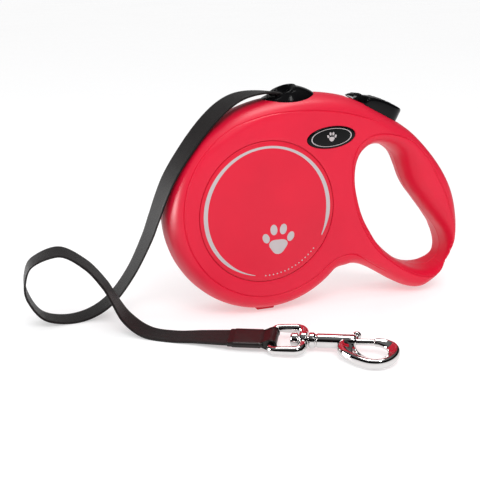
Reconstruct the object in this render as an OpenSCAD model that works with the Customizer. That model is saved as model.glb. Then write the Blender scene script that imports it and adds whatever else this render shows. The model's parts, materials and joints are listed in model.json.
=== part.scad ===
// Retractable tape leash: housing with looped handle, spring reel, brake and swivel snap hook.
// The handle points along +X, the front face looks along -Y, and the leash stands on Z = 0.

/* [Housing] */
// Half of the housing's thickness at its faces
half_depth = 18.5; // [17.5:0.5:21]
// Wall thickness of the shells
wall = 2.5; // [2.2:0.1:2.7]
// Radius of the round cover disc on each face
disc_r = 45.8; // [40:0.2:48]
// Thickness that the cover disc stands proud of the face
disc_proud = 1; // [0.4:0.1:1.4]
// Radius of the self-tapping screws
screw_r = 1.5; // [1.2:0.1:1.6]

/* [Tape and reel] */
// Width of the tape
tape_w = 17; // [15:1:18]
// Thickness of the tape
tape_t = 1.4; // [1:0.1:1.5]
// Length of tape still wound on the reel
wound_len = 4600; // [3000:100:4700]
// Radius of the reel's flanges
flange_r = 58; // [57:0.2:58.2]
// Radius of the hub that the tape winds on
hub_r = 30; // [29:0.5:31]
// Radius of the fixed axle
axle_r = 4; // [3.5:0.1:4.5]
// Number of ratchet teeth on the front flange
teeth = 18; // [18:1:18]

/* [Brake] */
// Travel of the thumb button
button_travel = 3; // [2:0.5:3]
// Half of the thumb button's width
button_half_w = 9.5; // [8.5:0.5:9.5]

/* [Snap hook] */
// Radius of the swivel eye's wire
eye_wire_r = 2.3; // [2:0.1:2.4]
// Radius of the hook's barrel
barrel_r = 4.3; // [4:0.1:4.5]
// Radius of the hook's bent section
hook_wire_r = 3.2; // [2.8:0.1:3.3]
// Travel of the sliding bolt
bolt_travel = 8; // [6:0.5:9]

/* [Hidden] */
$fn = 64;

red = "#d8263c";
dark = "#1c1a1b";
steel = "#b9bcc0";

// Where the reel turns, and the clearances used throughout
axis_x = -43;
axis_z = 69;
gap = 0.3;
running = 0.05;
bite = 0.01;

// Housing outline: the drum is an arc and the rest a curve through points.
// Points are measured along X from the reel's axis and along Z from the floor.
drum_r = 67;
drum_c = [3, 67.8];
arc_from = 133;
arc_to = 317;
arc_step = 8;
neck_to_top = [[59, 23.6], [65, 24.4], [73, 22.4], [82, 18], [91, 12.6], [100, 7.2], [109.5, 3],
               [118.7, 0.9], [128, 3.8], [136, 9.6], [143, 18.8], [146.8, 30.4], [147.6, 41],
               [146.2, 53.2], [141.2, 67.6], [135.4, 80.1], [127.2, 91], [118.5, 102.8],
               [109, 111.8], [100, 118.2], [90, 123.9], [79, 129.6], [70, 134.1], [60, 137.8],
               [50, 140], [38, 141.2], [25, 141], [12, 139.8], [-3, 137], [-17, 132.2],
               [-31, 124.6]];
handle_hole = [[121.8, 57.9], [129, 49.4], [136, 40], [139.6, 30.4], [138.6, 22.4], [133.6, 17.4],
               [126, 15.2], [114.6, 17.2], [102.4, 23], [91.5, 31], [83, 39.6], [77.5, 48],
               [72.6, 56.6], [69.1, 65], [66.6, 73.4], [64.7, 81.6], [64.4, 89.5], [66.1, 96.2],
               [70, 101.6], [77.5, 105.4], [88, 104], [97.6, 97.2], [102.2, 87.8], [105.8, 79.2],
               [110.1, 72], [115.7, 65.2]];
curve_steps = 4;

// Stepped rounding of the rim: depth where each step ends, and how far it is drawn in
step_y = [13.6, 16.8];
rim_in = [3.5, 8];
hole_in = [1.5, 4];
hollow_y = [12.6, 15.6];

// Foot under the drum
foot_half = [6, 8];
foot_h = 4;

// Brake button: its seat on the housing, along the slope and square to it
seat = [79, 129.6];
slope = -27.4;
button_len = [-8, 12.5];
lock_len = [-16.6, -8.6];
skirt = -2.5;

// Brake pawl
pivot = [83, 117];
pin_r = 1.5;

// Reel and its parts
reel_half = tape_w / 2 + 2.1;
flange_t = 1.6;
washer_y = [reel_half + 0.1, reel_half + 1.7];
tooth_root = 54.9;
gap_angle = 40.3;
hub_wall = 1.6;
wound_r = sqrt(pow(hub_r + 0.1, 2) + wound_len * tape_t / PI);

// Screw places, measured as the outline is
screws = [[6, 6.6], [50, 132.5], [70, 37], [105, 13.6], [116, 86]];
boss_r = 3.5;

// Hook: the eye's bar stands here, turned, pitched and rolled
hook_at = [-63.3, -72, 5.9];
hook_turn = [9, -1.5, -30];
eye_half_w = 13.1;
bar_u = 1;
eye_bar_r = eye_wire_r - 0.1;
boss_u = [17.5, 22.3];
shank_r = 2.6;
bore_r = 2;
barrel_u = [27, 51];
loop_r = 11.2;
loop_c = [[54, -11.2], [61.5, -11.2]];
broad_c = [55.5, -11];
broad_r = 8.6;
sleeve_u = [-25, -3.5];
sleeve_half = [9.4, 1.8];

// Free tape: place of its centre line, then the turn and the roll of its width, in degrees
tape_route = [[-31, 0, 142, 0, 6], [-40, 0, 142.8, 0, 8], [-50, 0, 142.2, 0, 8],
              [-59, 0, 139.6, 0, 6], [-68, -1, 135, 0, 3], [-78.4, -3, 126, 0, 0],
              [-87, -5, 118.6, 0, 0], [-94.8, -6.4, 109.6, 0, 0], [-101, -6.4, 102, 0, 0],
              [-105.6, -5.4, 93.4, 0, 0], [-109.6, -3, 81, 0, 0], [-113, 1, 66.4, 0, 0],
              [-117, 6, 51.6, 0, 0], [-125.6, 12, 30.4, 0, 0], [-137.4, 16, 12.8, 0, 0],
              [-151, 18, 3.2, 0, 0],
              [-167, 18, 0.8, 0, 0], [-183, 16, 6.2, 4, 0], [-192.4, 13, 21, 8, 0],
              [-193.6, 10, 34, 8, 0], [-188.8, 7, 45, 6, 0], [-173, 2, 51, 5, 5],
              [-158.4, -4, 43, 10, 5], [-148.4, -9, 31, 16, 3], [-143.4, -12, 21.6, 22, 0],
              [-136.6, -17, 9.8, 30, 0], [-126.4, -25, 2, 36, 0], [-113, -35.4, 1, 38, 2],
              [-99.4, -46, 2.8, 35, 5], [-85, -59.5, 5.2, 30, 9]];
tape_steps = 2;

function at(p) = [p[0] + axis_x, p[1]];
function bend(a, b, c, d, t) =
    0.5 * (2 * b + (c - a) * t + (2 * a - 5 * b + 4 * c - d) * t * t
           + (3 * b - a - 3 * c + d) * t * t * t);
function on_drum(a) = drum_c + drum_r * [cos(a), sin(a)];
function through(p, steps) =
    [for (i = [1:len(p) - 3], s = [0:steps - 1])
        bend(p[i - 1], p[i], p[i + 1], p[i + 2], s / steps)];
function closed(p, steps) =
    let (n = len(p))
    [for (i = [0:n - 1], s = [0:steps - 1])
        bend(p[(i + n - 1) % n], p[i], p[(i + 1) % n], p[(i + 2) % n], s / steps)];
function outward(p, i) =
    let (n = len(p), d = p[(i + 1) % n] - p[(i + n - 1) % n])
    [d[1], -d[0]] / norm(d);
function drawn_in(p, by) = [for (i = [0:len(p) - 1]) p[i] - by * outward(p, i)];

drum_arc = [for (a = [arc_from:arc_step:arc_to - 1]) on_drum(a)];
free_part = concat([on_drum(arc_to - arc_step), on_drum(arc_to)], neck_to_top,
                   [on_drum(arc_from), on_drum(arc_from + arc_step)]);
outline = [for (p = concat(drum_arc, through(free_part, curve_steps))) at(p)];
hole = [for (p = closed(handle_hole, curve_steps)) at(p)];

// A slab of a flat shape, from one depth to another along Y
module slab(shape, from, to)
    translate([0, to, 0])
        rotate([90, 0, 0])
            linear_extrude(to - from)
                polygon(shape);

// A rod along Y
module rod(place, r, from, to)
    translate([place[0], to, place[1]])
        rotate([90, 0, 0])
            cylinder(r = r, h = to - from);

// Stepped block of the whole housing, both halves
module block() {
    difference() {
        union() {
            slab(outline, -step_y[0], step_y[0]);
            slab(drawn_in(outline, rim_in[0]), -step_y[1], step_y[1]);
            slab(drawn_in(outline, rim_in[1]), -half_depth, half_depth);
            translate([axis_x + drum_c[0] - foot_half[0], -foot_half[1], 0])
                cube([2 * foot_half[0], 2 * foot_half[1], foot_h]);
        }
        // The hole's points run clockwise, so drawing in moves them away from its middle
        slab(hole, -half_depth - 1, half_depth + 1);
        for (side = [-1, 1]) {
            lip(side, step_y[0], step_y[1], hole_in[0]);
            lip(side, step_y[1], half_depth + 1, hole_in[1]);
        }
    }
}

// One step cut around the handle hole on one face
module lip(side, near, far, by)
    slab(drawn_in(hole, by), min(side * near, side * far), max(side * near, side * far));

module hollow() {
    difference() {
        slab(drawn_in(outline, wall), -hollow_y[0], hollow_y[0]);
        slab(drawn_in(hole, wall), -half_depth, half_depth);
    }
    difference() {
        slab(drawn_in(outline, rim_in[0] + wall), -hollow_y[1], hollow_y[1]);
        slab(drawn_in(hole, hole_in[1] + wall), -half_depth, half_depth);
    }
}

// The button's own axes: X along the slope, Z square to it, out of the housing
module on_seat()
    translate([at(seat)[0], 0, seat[1]])
        rotate([0, -slope, 0])
            children();

// Plan shape of the thumb button, grown by a clearance, between two heights
module thumb_plan(grow, low, high)
    translate([0, 0, low])
        linear_extrude(high - low) {
            translate([button_len[0] - grow, -button_half_w - grow])
                square([button_len[1] - button_len[0] + grow, 2 * (button_half_w + grow)]);
            translate([button_len[1], 0])
                circle(r = button_half_w + grow);
        }

// Openings through the shells for the outlet, the button and the lock
module top_openings() {
    translate([at([7, 0])[0], -11, 126])
        cube([28, 22, 30]);
    on_seat() {
        thumb_plan(0.4, -10, 12);
        translate([lock_len[0] - 3.5, -3.4, -12])
            cube([12.5, 6.8, 20]);
    }
}

// Bosses and seats inside both shells
module bosses() {
    intersection() {
        block();
        union() {
            for (p = screws)
                rod(at(p), boss_r, -half_depth, half_depth);
            for (side = [-1, 1]) {
                rod([axis_x, axis_z], 7, side < 0 ? -17 : washer_y[1], side < 0 ? -washer_y[1] : 17);
                rod(at(pivot), 3.4, side < 0 ? -17 : 9.4, side < 0 ? -12.4 : 17);
            }
            translate([at([59.5, 0])[0], -4, 98])
                cube([6, 8, 6]);
            on_seat()
                translate([17, 0, -17])
                    cylinder(r = 3.6, h = 3);
        }
    }
}

module shell_pair() {
    difference() {
        union() {
            difference() {
                block();
                hollow();
            }
            bosses();
        }
        top_openings();
        rod([axis_x, axis_z], axle_r, -17, 17);
        rod(at(pivot), pin_r, -15.5, 15.5);
        for (p = screws)
            rod(at(p), screw_r + running, -12, 20);
        for (side = [-1, 1]) {
            rod([axis_x, axis_z], disc_r + gap, side < 0 ? -20 : half_depth - 1.2,
                side < 0 ? -half_depth + 1.2 : 20);
            badge_plate(side, half_depth - 0.8, 20, gap);
        }
    }
}

module half_space(side)
    translate([-150, side < 0 ? -30 : 0, -5])
        cube([300, 30, 200]);

module front_shell()
    color(red)
        intersection() {
            shell_pair();
            half_space(-1);
        }

module rear_shell()
    color("#c42036")
        difference() {
            intersection() {
                shell_pair();
                half_space(1);
            }
            for (p = screws)
                rod(at(p), 2 * screw_r + 0.2, 10.2, 20);
        }

// Round cover disc with a stepped edge
module cover_disc(side) {
    foot = half_depth - 1.2;
    top = half_depth + disc_proud;
    rod([axis_x, axis_z], disc_r, min(side * foot, side * (top - 0.5)),
        max(side * foot, side * (top - 0.5)));
    rod([axis_x, axis_z], disc_r - 3, min(side * foot, side * top), max(side * foot, side * top));
}

module front_disc()
    color(red)
        cover_disc(-1);

module rear_disc()
    color(red)
        cover_disc(1);

// Oval badge on the shoulder between the disc and the top
badge_at = [43.2, 114.4];
badge_half = [16.9, 6.9];
badge_tilt = 4;
module badge_plate(side, near, far, grow)
    translate([at(badge_at)[0], 0, badge_at[1]])
        rotate([0, -badge_tilt, 0])
            slab([for (a = [0:7.5:359])
                     [(badge_half[0] + grow) * cos(a), (badge_half[1] + grow) * sin(a)]],
                 min(side * near, side * far), max(side * near, side * far));

module front_badge()
    color("black")
        badge_plate(-1, half_depth - 0.8, half_depth + 0.7, 0);

module rear_badge()
    color("black")
        badge_plate(1, half_depth - 0.8, half_depth + 0.7, 0);

slot_half = tape_w / 2 + 0.5;
// Outlet nozzle: a dome on the top with a slot for the tape and a neck through the shells
module tape_outlet()
    color(dark)
        difference() {
            union() {
                difference() {
                    hull() {
                        translate([at([24, 0])[0], 0, 138.5])
                            scale([13.4, 12.6, 8.8])
                                sphere(1, $fn = 40);
                        translate([at([15, 0])[0], 0, 140.5])
                            scale([10.5, 12.4, 6.8])
                                sphere(1, $fn = 40);
                    }
                    slab(outline, -20, 20);
                }
                translate([at([7.3, 0])[0], -10.8, 134])
                    cube([27.4, 21.6, 8.4]);
            }
            translate([at([0, 0])[0], -slot_half, 139.4])
                cube([17, 2 * slot_half, 5.8]);
            translate([at([11, 0])[0], -slot_half, 130])
                cube([19, 2 * slot_half, 11.6]);
        }

module brake_button()
    color(dark)
        on_seat() {
            intersection() {
                thumb_plan(0, skirt, 12);
                slab([[-10, skirt], [-8, 4.6], [-3, 6.8], [3, 8.2], [12, 9], [22, 9],
                      [23, skirt]], -12, 12);
            }
            translate([-7.9, -3, -10])
                cube([4, 6, 8]);
            translate([17, 0, -7])
                cylinder(r = 1.6, h = 5);
        }

// The lock is a low ramp in front of the button, on a stem with a foot inside the housing
module lock_slider()
    color(dark)
        on_seat() {
            slab([[lock_len[0], 0.4], [lock_len[0] + 2.4, 2.6], [lock_len[1] - 1, 4.8],
                  [lock_len[1], 4.6], [lock_len[1], 0.4]], -8, 8);
            translate([-14.6, -3, -4.4])
                cube([5, 6, 6]);
            translate([-15.2, -6, -6.4])
                cube([6, 12, 2]);
        }

// Compression spring, drawn at its shortest length, as a stack of turns
module coil_stack(r, wire, turns)
    for (i = [0:turns - 1])
        translate([0, 0, wire + 2 * i * wire * 0.98])
            rotate_extrude()
                translate([r, 0])
                    circle(r = wire, $fn = 16);

module button_spring()
    color(steel)
        on_seat()
            translate([17, 0, -13.98])
                coil_stack(2.4, 0.35, 5);

// Lever in the housing's own plane, pivoting on its right end
pawl_arm = [[83, 113.4], [83, 120.6], [76, 121.2], [62, 119.8], [56, 119.4], [56, 114.5],
            [72, 114]];
pawl_nose = [[60, 114.6], [60, 119.6], [50, 119], [42.2, 117.4], [41.5, 113.8], [43.4, 113],
             [48, 114.4]];
module brake_pawl()
    color("#e8e4da")
        difference() {
            union() {
                rod(at(pivot), 3.6, -12, 9);
                slab([for (p = pawl_nose) at(p)], -reel_half - 1.4, -reel_half + flange_t - 0.1);
                slab([for (p = pawl_arm) at(p)], -reel_half - 1.4, 6);
            }
            rod(at(pivot), pin_r + running, -20, 20);
        }

module pawl_pin()
    color(steel)
        rod(at(pivot), pin_r, -15.4, 15.4);

module pawl_spring()
    color(steel)
        translate([at([61.5, 0])[0], 0, 104.02])
            coil_stack(1.9, 0.35, 6);

// Front flange with ratchet teeth and hub, closed at the front
module reel_hub()
    color("#d9d6cf")
        difference() {
            union() {
                difference() {
                    rod([axis_x, axis_z], flange_r, -reel_half, -reel_half + flange_t);
                    for (i = [0:teeth - 1])
                        tooth_gap(gap_angle + i * 360 / teeth);
                }
                rod([axis_x, axis_z], hub_r, -reel_half, reel_half - flange_t);
            }
            rod([axis_x, axis_z], hub_r - hub_wall, -reel_half + 1.8, 20);
            rod([axis_x, axis_z], axle_r + running, -20, 20);
        }

// One gap between ratchet teeth, open at the rim
tooth_half = 5;
module tooth_gap(a)
    slab([for (c = [[tooth_root, -tooth_half + 1], [flange_r + 2, -tooth_half],
                    [flange_r + 2, tooth_half], [tooth_root, tooth_half - 1]])
             [axis_x + c[0] * cos(a + c[1]), axis_z + c[0] * sin(a + c[1])]],
         -reel_half - 1, -reel_half + flange_t + 1);

module reel_flange()
    color("#d9d6cf")
        difference() {
            union() {
                rod([axis_x, axis_z], flange_r, reel_half - flange_t, reel_half);
                rod([axis_x, axis_z], hub_r - hub_wall - 0.1, reel_half - flange_t - 2,
                    reel_half);
            }
            rod([axis_x, axis_z], hub_r - hub_wall - 1.6, 0, reel_half - flange_t);
            rod([axis_x, axis_z], axle_r + running, 0, 20);
        }

// Thin steel cup in the hub that the main spring's outer end hooks into
cup_r = hub_r - hub_wall - 0.2;
module spring_cassette()
    color(steel)
        difference() {
            rod([axis_x, axis_z], cup_r, -reel_half + 1.9, 6.8);
            rod([axis_x, axis_z], cup_r - 0.8, -reel_half + 2.7, 20);
            rod([axis_x, axis_z], axle_r + 2, -20, 20);
        }

// Flat spiral of spring steel with a tang in the axle's slot
spring_turns = 8;
spring_from = 8;
spring_to = 25.8;
spring_t = 0.6;
spring_step = 15;
spring_y = [7.4, 5.6];
spring_pitch = (spring_to - spring_from) / spring_turns;
function spiral(a, more) =
    (spring_from + spring_pitch * a / 360 + more) * [cos(a), sin(a)] + [axis_x, axis_z];
module main_spring()
    color(steel) {
        slab(concat([for (a = [0:spring_step:360 * spring_turns]) spiral(a, 0)],
                    [for (a = [360 * spring_turns:-spring_step:0]) spiral(a, spring_t)]),
             -spring_y[0], spring_y[1]);
        slab([[axis_x + 1, axis_z - 0.3], [axis_x + spring_from + spring_t, axis_z - 0.3],
              [axis_x + spring_from + spring_t, axis_z + 0.3], [axis_x + 1, axis_z + 0.3]],
             -spring_y[0], spring_y[1]);
    }

module axle()
    color(steel)
        difference() {
            rod([axis_x, axis_z], axle_r, -16.9, 16.9);
            translate([axis_x + 0.9, -spring_y[0] - 0.1, axis_z - 0.4])
                cube([axle_r + 1, spring_y[0] + spring_y[1] + 0.2, 0.8]);
        }

module reel_washers()
    color("white")
        for (side = [-1, 1])
            difference() {
                rod([axis_x, axis_z], 8, side < 0 ? -washer_y[1] : washer_y[0],
                    side < 0 ? -washer_y[0] : washer_y[1]);
                rod([axis_x, axis_z], axle_r + running, -20, 20);
            }

module wound_tape()
    color(dark)
        difference() {
            rod([axis_x, axis_z], wound_r, -tape_w / 2, tape_w / 2);
            rod([axis_x, axis_z], hub_r, -20, 20);
        }

// Straight run from the reel up to the outlet
lead_low = [44.4, 102.9];
lead_high = [14.4, 141];
module inner_tape()
    color(dark) {
        run = lead_high - lead_low;
        square_off = [-run[1], run[0]] / norm(run) * tape_t;
        slab([at(lead_low), at(lead_high), at(lead_high - square_off), at(lead_low - square_off)],
             -tape_w / 2, tape_w / 2);
    }

// Free tape: a flat section swept along its route
route = concat([tape_route[0] * 2 - tape_route[1]], tape_route,
               [tape_route[len(tape_route) - 1] * 2 - tape_route[len(tape_route) - 2]]);
path = concat(through(route, tape_steps), [tape_route[len(tape_route) - 1]]);
function spot(i) = [path[i][0], path[i][1], path[i][2]];
function unit(v) = v / norm(v);
function ahead(i) = unit(spot(min(i + 1, len(path) - 1)) - spot(max(i - 1, 0)));
function across(i) =
    let (t = ahead(i),
         turn = path[i][3],
         hint = [sin(turn), cos(turn), 0],
         level = unit(hint - (hint * t) * t),
         up = cross(t, level))
    level * cos(path[i][4]) + up * sin(path[i][4]);
section = [[-1, -0.5], [-0.9, -1], [0.9, -1], [1, -0.5], [1, 0.5], [0.9, 1], [-0.9, 1], [-1, 0.5]];
function ring(i) =
    let (w = across(i), up = cross(ahead(i), w))
    [for (s = section) spot(i) + w * s[0] * tape_w / 2 + up * s[1] * tape_t / 2];
module free_tape()
    color(dark) {
        n = len(path);
        m = len(section);
        polyhedron(
            points = [for (i = [0:n - 1]) each ring(i)],
            faces = concat(
                [[for (j = [0:m - 1]) j]],
                [[for (j = [m - 1:-1:0]) (n - 1) * m + j]],
                [for (i = [0:n - 2], j = [0:m - 1])
                    [i * m + j, (i + 1) * m + j, (i + 1) * m + (j + 1) % m]],
                [for (i = [0:n - 2], j = [0:m - 1])
                    [i * m + j, (i + 1) * m + (j + 1) % m, i * m + (j + 1) % m]]));
    }

module housing_screws()
    color(steel)
        for (p = screws) {
            rod(at(p), screw_r, -10, 11);
            difference() {
                rod(at(p), 2 * screw_r, 10.2, 12.4);
                rod(at(p), screw_r * 0.7, 11.2, 13);
            }
        }

// The hook's own axes: X along it away from the tape, Y along the eye's bar
module on_hook()
    translate(hook_at)
        rotate(hook_turn)
            children();

// A rod between two lengths along the hook's X axis
module spindle(r, from, to)
    translate([from, 0, 0])
        rotate([0, 90, 0])
            cylinder(r = r, h = to - from);

module tape_sleeve()
    color("#3a1f1c")
        on_hook()
            translate([sleeve_u[0], -sleeve_half[0], -sleeve_half[1]])
                cube([sleeve_u[1] - sleeve_u[0], 2 * sleeve_half[0], 2 * sleeve_half[1]]);

module tape_end_loop()
    color(dark)
        on_hook()
            translate([0, tape_w / 2 - 0.5, 0])
                rotate([90, 0, 0])
                    linear_extrude(tape_w - 1)
                        difference() {
                            union() {
                                translate([bar_u, 0])
                                    circle(r = eye_bar_r + tape_t);
                                translate([sleeve_u[1], -tape_t])
                                    square([bar_u - sleeve_u[1], 2 * tape_t]);
                            }
                            translate([bar_u, 0])
                                circle(r = eye_bar_r + running);
                        }

// A bar of the eye, across the hook's axis
module crossbar(x, r)
    translate([x, eye_half_w, 0])
        rotate([90, 0, 0])
            cylinder(r = r, h = 2 * eye_half_w);

module swivel_eye()
    color(steel)
        on_hook()
            difference() {
                union() {
                    crossbar(bar_u, eye_bar_r);
                    crossbar(boss_u[0] + 2.4, eye_wire_r - 0.2);
                    for (side = [-1, 1])
                        translate([0, side * eye_half_w, 0])
                            spindle(eye_wire_r, bar_u - eye_wire_r, boss_u[0] + 2.4 + eye_wire_r);
                    spindle(shank_r + 2.7, boss_u[0], boss_u[1]);
                }
                spindle(shank_r + running, boss_u[0] - 5, boss_u[1] + 5);
            }

// One bend of the hook, swept from one angle to another about its centre
module hook_bend(c, from, to, r = loop_r)
    translate([c[0], c[1], 0])
        rotate_extrude(angle = to - from, start = from)
            translate([r, 0])
                circle(r = hook_wire_r);

module snap_hook()
    color(steel)
        on_hook()
            difference() {
                union() {
                    spindle(4.2, 12, boss_u[0] - 0.2);
                    spindle(shank_r, 13, 26);
                    spindle(barrel_r + 0.3, boss_u[1] + 0.3, barrel_u[0]);
                    spindle(barrel_r, barrel_u[0] - 0.1, barrel_u[1]);
                    hook_bend(loop_c[0], 130, 270);
                    hook_bend(broad_c, 150, 240, broad_r);
                    hook_bend(loop_c[1], -90, 88);
                    translate([0, loop_c[0][1] - loop_r, 0])
                        spindle(hook_wire_r, loop_c[0][0], loop_c[1][0]);
                }
                spindle(bore_r + running, 31, 62.6);
                translate([49.8 - bolt_travel, 0, -1.3])
                    cube([bolt_travel + 2, 8, 2.6]);
            }

module trigger_bolt()
    color(steel)
        on_hook() {
            spindle(bore_r, 42, 62.4);
            translate([51.2, 0, 0])
                rotate([-90, 0, 0])
                    cylinder(r = 1.1, h = 6.6);
            translate([51.2, 7, 0])
                sphere(r = 2.2);
        }

module trigger_spring()
    color(steel)
        on_hook()
            translate([31.05, 0, 0])
                rotate([0, 90, 0])
                    coil_stack(1.5, 0.25, 4);

front_shell();
rear_shell();
front_disc();
rear_disc();
front_badge();
rear_badge();
tape_outlet();
brake_button();
lock_slider();
button_spring();
brake_pawl();
pawl_pin();
pawl_spring();
reel_hub();
reel_flange();
spring_cassette();
main_spring();
axle();
reel_washers();
wound_tape();
inner_tape();
free_tape();
housing_screws();
tape_sleeve();
tape_end_loop();
swivel_eye();
snap_hook();
trigger_bolt();
trigger_spring();
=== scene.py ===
"""Looks of a retractable tape leash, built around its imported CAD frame.

Each piece of the leash has its own operator. Lengths in this file are millimetres until
a mesh is made, and the helper that makes it turns them into metres.
"""

import json
import math

import bmesh
import bpy
import numpy as np
from mathutils import Matrix, Vector
from mathutils.geometry import delaunay_2d_cdt


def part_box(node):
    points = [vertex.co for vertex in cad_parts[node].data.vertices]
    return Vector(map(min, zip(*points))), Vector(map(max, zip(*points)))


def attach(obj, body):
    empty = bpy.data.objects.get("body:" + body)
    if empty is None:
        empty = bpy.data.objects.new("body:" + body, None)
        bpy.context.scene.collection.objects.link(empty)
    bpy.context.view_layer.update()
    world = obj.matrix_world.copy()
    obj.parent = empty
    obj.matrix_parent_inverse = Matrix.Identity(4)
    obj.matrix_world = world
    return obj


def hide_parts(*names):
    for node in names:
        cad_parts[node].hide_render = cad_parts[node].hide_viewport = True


bl_info = {
    "name": "Retractable Leash Looks",
    "version": (1, 0, 0),
    "blender": (4, 5, 0),
    "location": "View3D > Sidebar > Leash",
    "description": "Builds the visible pieces of a retractable tape leash on its frame",
    "category": "Object",
}

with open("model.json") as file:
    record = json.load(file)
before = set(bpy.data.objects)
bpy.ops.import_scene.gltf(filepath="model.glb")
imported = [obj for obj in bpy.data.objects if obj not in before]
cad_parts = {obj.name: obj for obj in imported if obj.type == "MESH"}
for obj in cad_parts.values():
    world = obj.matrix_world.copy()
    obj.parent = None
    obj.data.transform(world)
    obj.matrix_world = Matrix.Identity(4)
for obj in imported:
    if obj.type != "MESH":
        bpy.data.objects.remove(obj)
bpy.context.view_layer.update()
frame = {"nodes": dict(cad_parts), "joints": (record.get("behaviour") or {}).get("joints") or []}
JOINTS = {j["name"]: j for j in frame["joints"]}
MM = 0.001


def mm(point):
    """A point of the frame, in millimetres."""
    return np.array(point, float) / MM


# ---------------------------------------------------------------- places from the frame

REEL = mm(JOINTS["reel_spin"]["pos_m"])
ALONG = np.array(JOINTS["swivel_spin"]["axis"], float)
ACROSS = -np.array(JOINTS["eye_pivot"]["axis"], float)
UPWARD = np.cross(ALONG, ACROSS)
EYE_BAR_U = 1.0
HOOK_AT = mm(JOINTS["eye_pivot"]["pos_m"]) - EYE_BAR_U * ALONG
SLOPE = -np.array(JOINTS["lock_slide"]["axis"], float)
OUT_OF_SEAT = -np.array(JOINTS["brake_press"]["axis"], float)
SEAT = np.array([REEL[0] + 79.0, 0.0, 129.6])
HALF_DEPTH = 18.5
BADGE_BOX = [mm(c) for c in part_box("front_badge")]
BADGE_AT = (BADGE_BOX[0] + BADGE_BOX[1]) / 2
BADGE_HALF = (16.9, 6.9)
BADGE_TILT = 4.0
DISC_R = (mm(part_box("front_disc")[1])[0] - mm(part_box("front_disc")[0])[0]) / 2

# Housing outline, close to the frame's: X from the reel's axis, Z from the floor
DRUM_R = 67.0
DRUM_C = (3.0, 67.8)
DRUM_ARC = (133.0, 317.0)
NECK_TO_TOP = [(59, 23.6), (65, 24.4), (73, 22.4), (82, 18), (91, 12.6), (100, 7.2), (109.5, 2.8),
               (118.6, 1.4), (127.6, 5.2), (135.8, 11.8), (142.2, 21), (145.4, 30.8), (146.3, 41),
               (145.3, 53.2), (141.8, 67.6), (136, 80.4), (128, 92), (118.5, 102.8),
               (109, 111.8), (100, 118.2), (90, 123.9), (79, 129.6), (70, 134.1), (60, 137.8),
               (50, 140), (38, 141.2), (25, 141), (12, 139.8), (-3, 137), (-17, 132.2),
               (-31, 124.6)]
# Handle hole, with the width of the rounding round it at each point
HANDLE_HOLE = [(121.8, 57.9, 13.5), (129, 49.4, 9.5), (136, 40, 6), (139.6, 30.4, 4.2),
               (138.6, 22.4, 3.8), (133.6, 17.4, 3.8), (126, 15.2, 3.8), (114.6, 17.2, 3.8),
               (102.4, 23, 3.8), (91.5, 31, 4), (83, 39.6, 4.7), (77.5, 48, 5.2),
               (72.6, 56.6, 5.2), (69.1, 65, 5.1), (66.6, 73.4, 5), (64.7, 81.6, 4.6),
               (64.4, 89.5, 5), (66.1, 96.2, 6.6), (70, 101.6, 8.4), (77.5, 105.4, 8.4),
               (88, 104, 9), (97.6, 97.2, 12.5), (102.2, 87.8, 16.4), (105.8, 79.2, 17),
               (110.1, 72, 17), (115.7, 65.2, 15.8)]
# Groove round the face: an arc round the drum, then the top and the neck
FACE_ARC = ((2.7, 71.0), 58.5, 124.0, 304.0)
FACE_TOP = [(84, 120.5), (73, 124), (55, 129), (37, 131.7), (18, 132.4), (0, 131), (-18, 126)]
FACE_NECK = [(46, 30.6), (56, 34.4), (64, 34), (73, 28.6), (82, 22.8), (91, 17.8)]

# Free tape, close to the frame's: centre line, then the turn and the roll of its width
TAPE_ROUTE = [(-31, 0, 142, 0, 4), (-40, 0, 142.8, 0, 3), (-50, 0, 142.2, 0, -2),
              (-59, 0, 139.8, 0, -7), (-68, -1, 134.9, 0, -11), (-77.4, -3, 127.6, 0, -12),
              (-86.4, -5, 118.6, 0, -12), (-94.2, -6.2, 109.2, 0, -11), (-100.6, -6.2, 100, 0, -10),
              (-105.6, -5.2, 90.6, 0, -9), (-109.6, -3, 79.4, 0, -7), (-113, 1, 66.4, 0, -5),
              (-117, 6, 51.6, 0, -3), (-125.6, 12, 30.4, 0, 0), (-137.4, 16, 12.8, 0, 0),
              (-151, 18, 3.2, 0, 0), (-167, 18, 0.8, 0, 0), (-183, 16, 6.2, 4, 0),
              (-192.4, 13, 21, 8, 0), (-193.6, 10, 34, 8, 0), (-188.8, 7, 45, 6, 0),
              (-173, 2, 51, 5, 5), (-158.4, -4, 43, 10, 5), (-148.4, -9, 31, 16, 3),
              (-143.4, -12, 21.6, 22, 0), (-136.6, -17, 9.8, 30, 0), (-126.4, -25, 2, 36, 0),
              (-113, -35.4, 1, 38, 2), (-99.4, -46, 2.8, 35, 5), (-85, -59.5, 5.2, 30, 9),
              (-80.7, -61.8, 5.5, 30, 9)]


# ---------------------------------------------------------------- curves and distances

def bend(a, b, c, d, t):
    """A point on the smooth curve between b and c."""
    return 0.5 * (2 * b + (c - a) * t + (2 * a - 5 * b + 4 * c - d) * t * t
                  + (3 * b - a - 3 * c + d) * t ** 3)


def through(points, steps):
    """The smooth curve through points, without the first and the last."""
    p = np.array(points, float)
    return np.array([bend(p[i - 1], p[i], p[i + 1], p[i + 2], s / steps)
                     for i in range(1, len(p) - 2) for s in range(steps)])


def ring_through(points, steps):
    """The smooth closed curve through points."""
    p = np.array(points, float)
    n = len(p)
    return np.array([bend(p[i - 1], p[i], p[(i + 1) % n], p[(i + 2) % n], s / steps)
                     for i in range(n) for s in range(steps)])


def open_through(points, steps):
    """The smooth open curve through all points, the last one included."""
    p = np.array(points, float)
    full = np.vstack([2 * p[0] - p[1], p, 2 * p[-1] - p[-2]])
    return np.vstack([through(full, steps), p[-1]])


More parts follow.
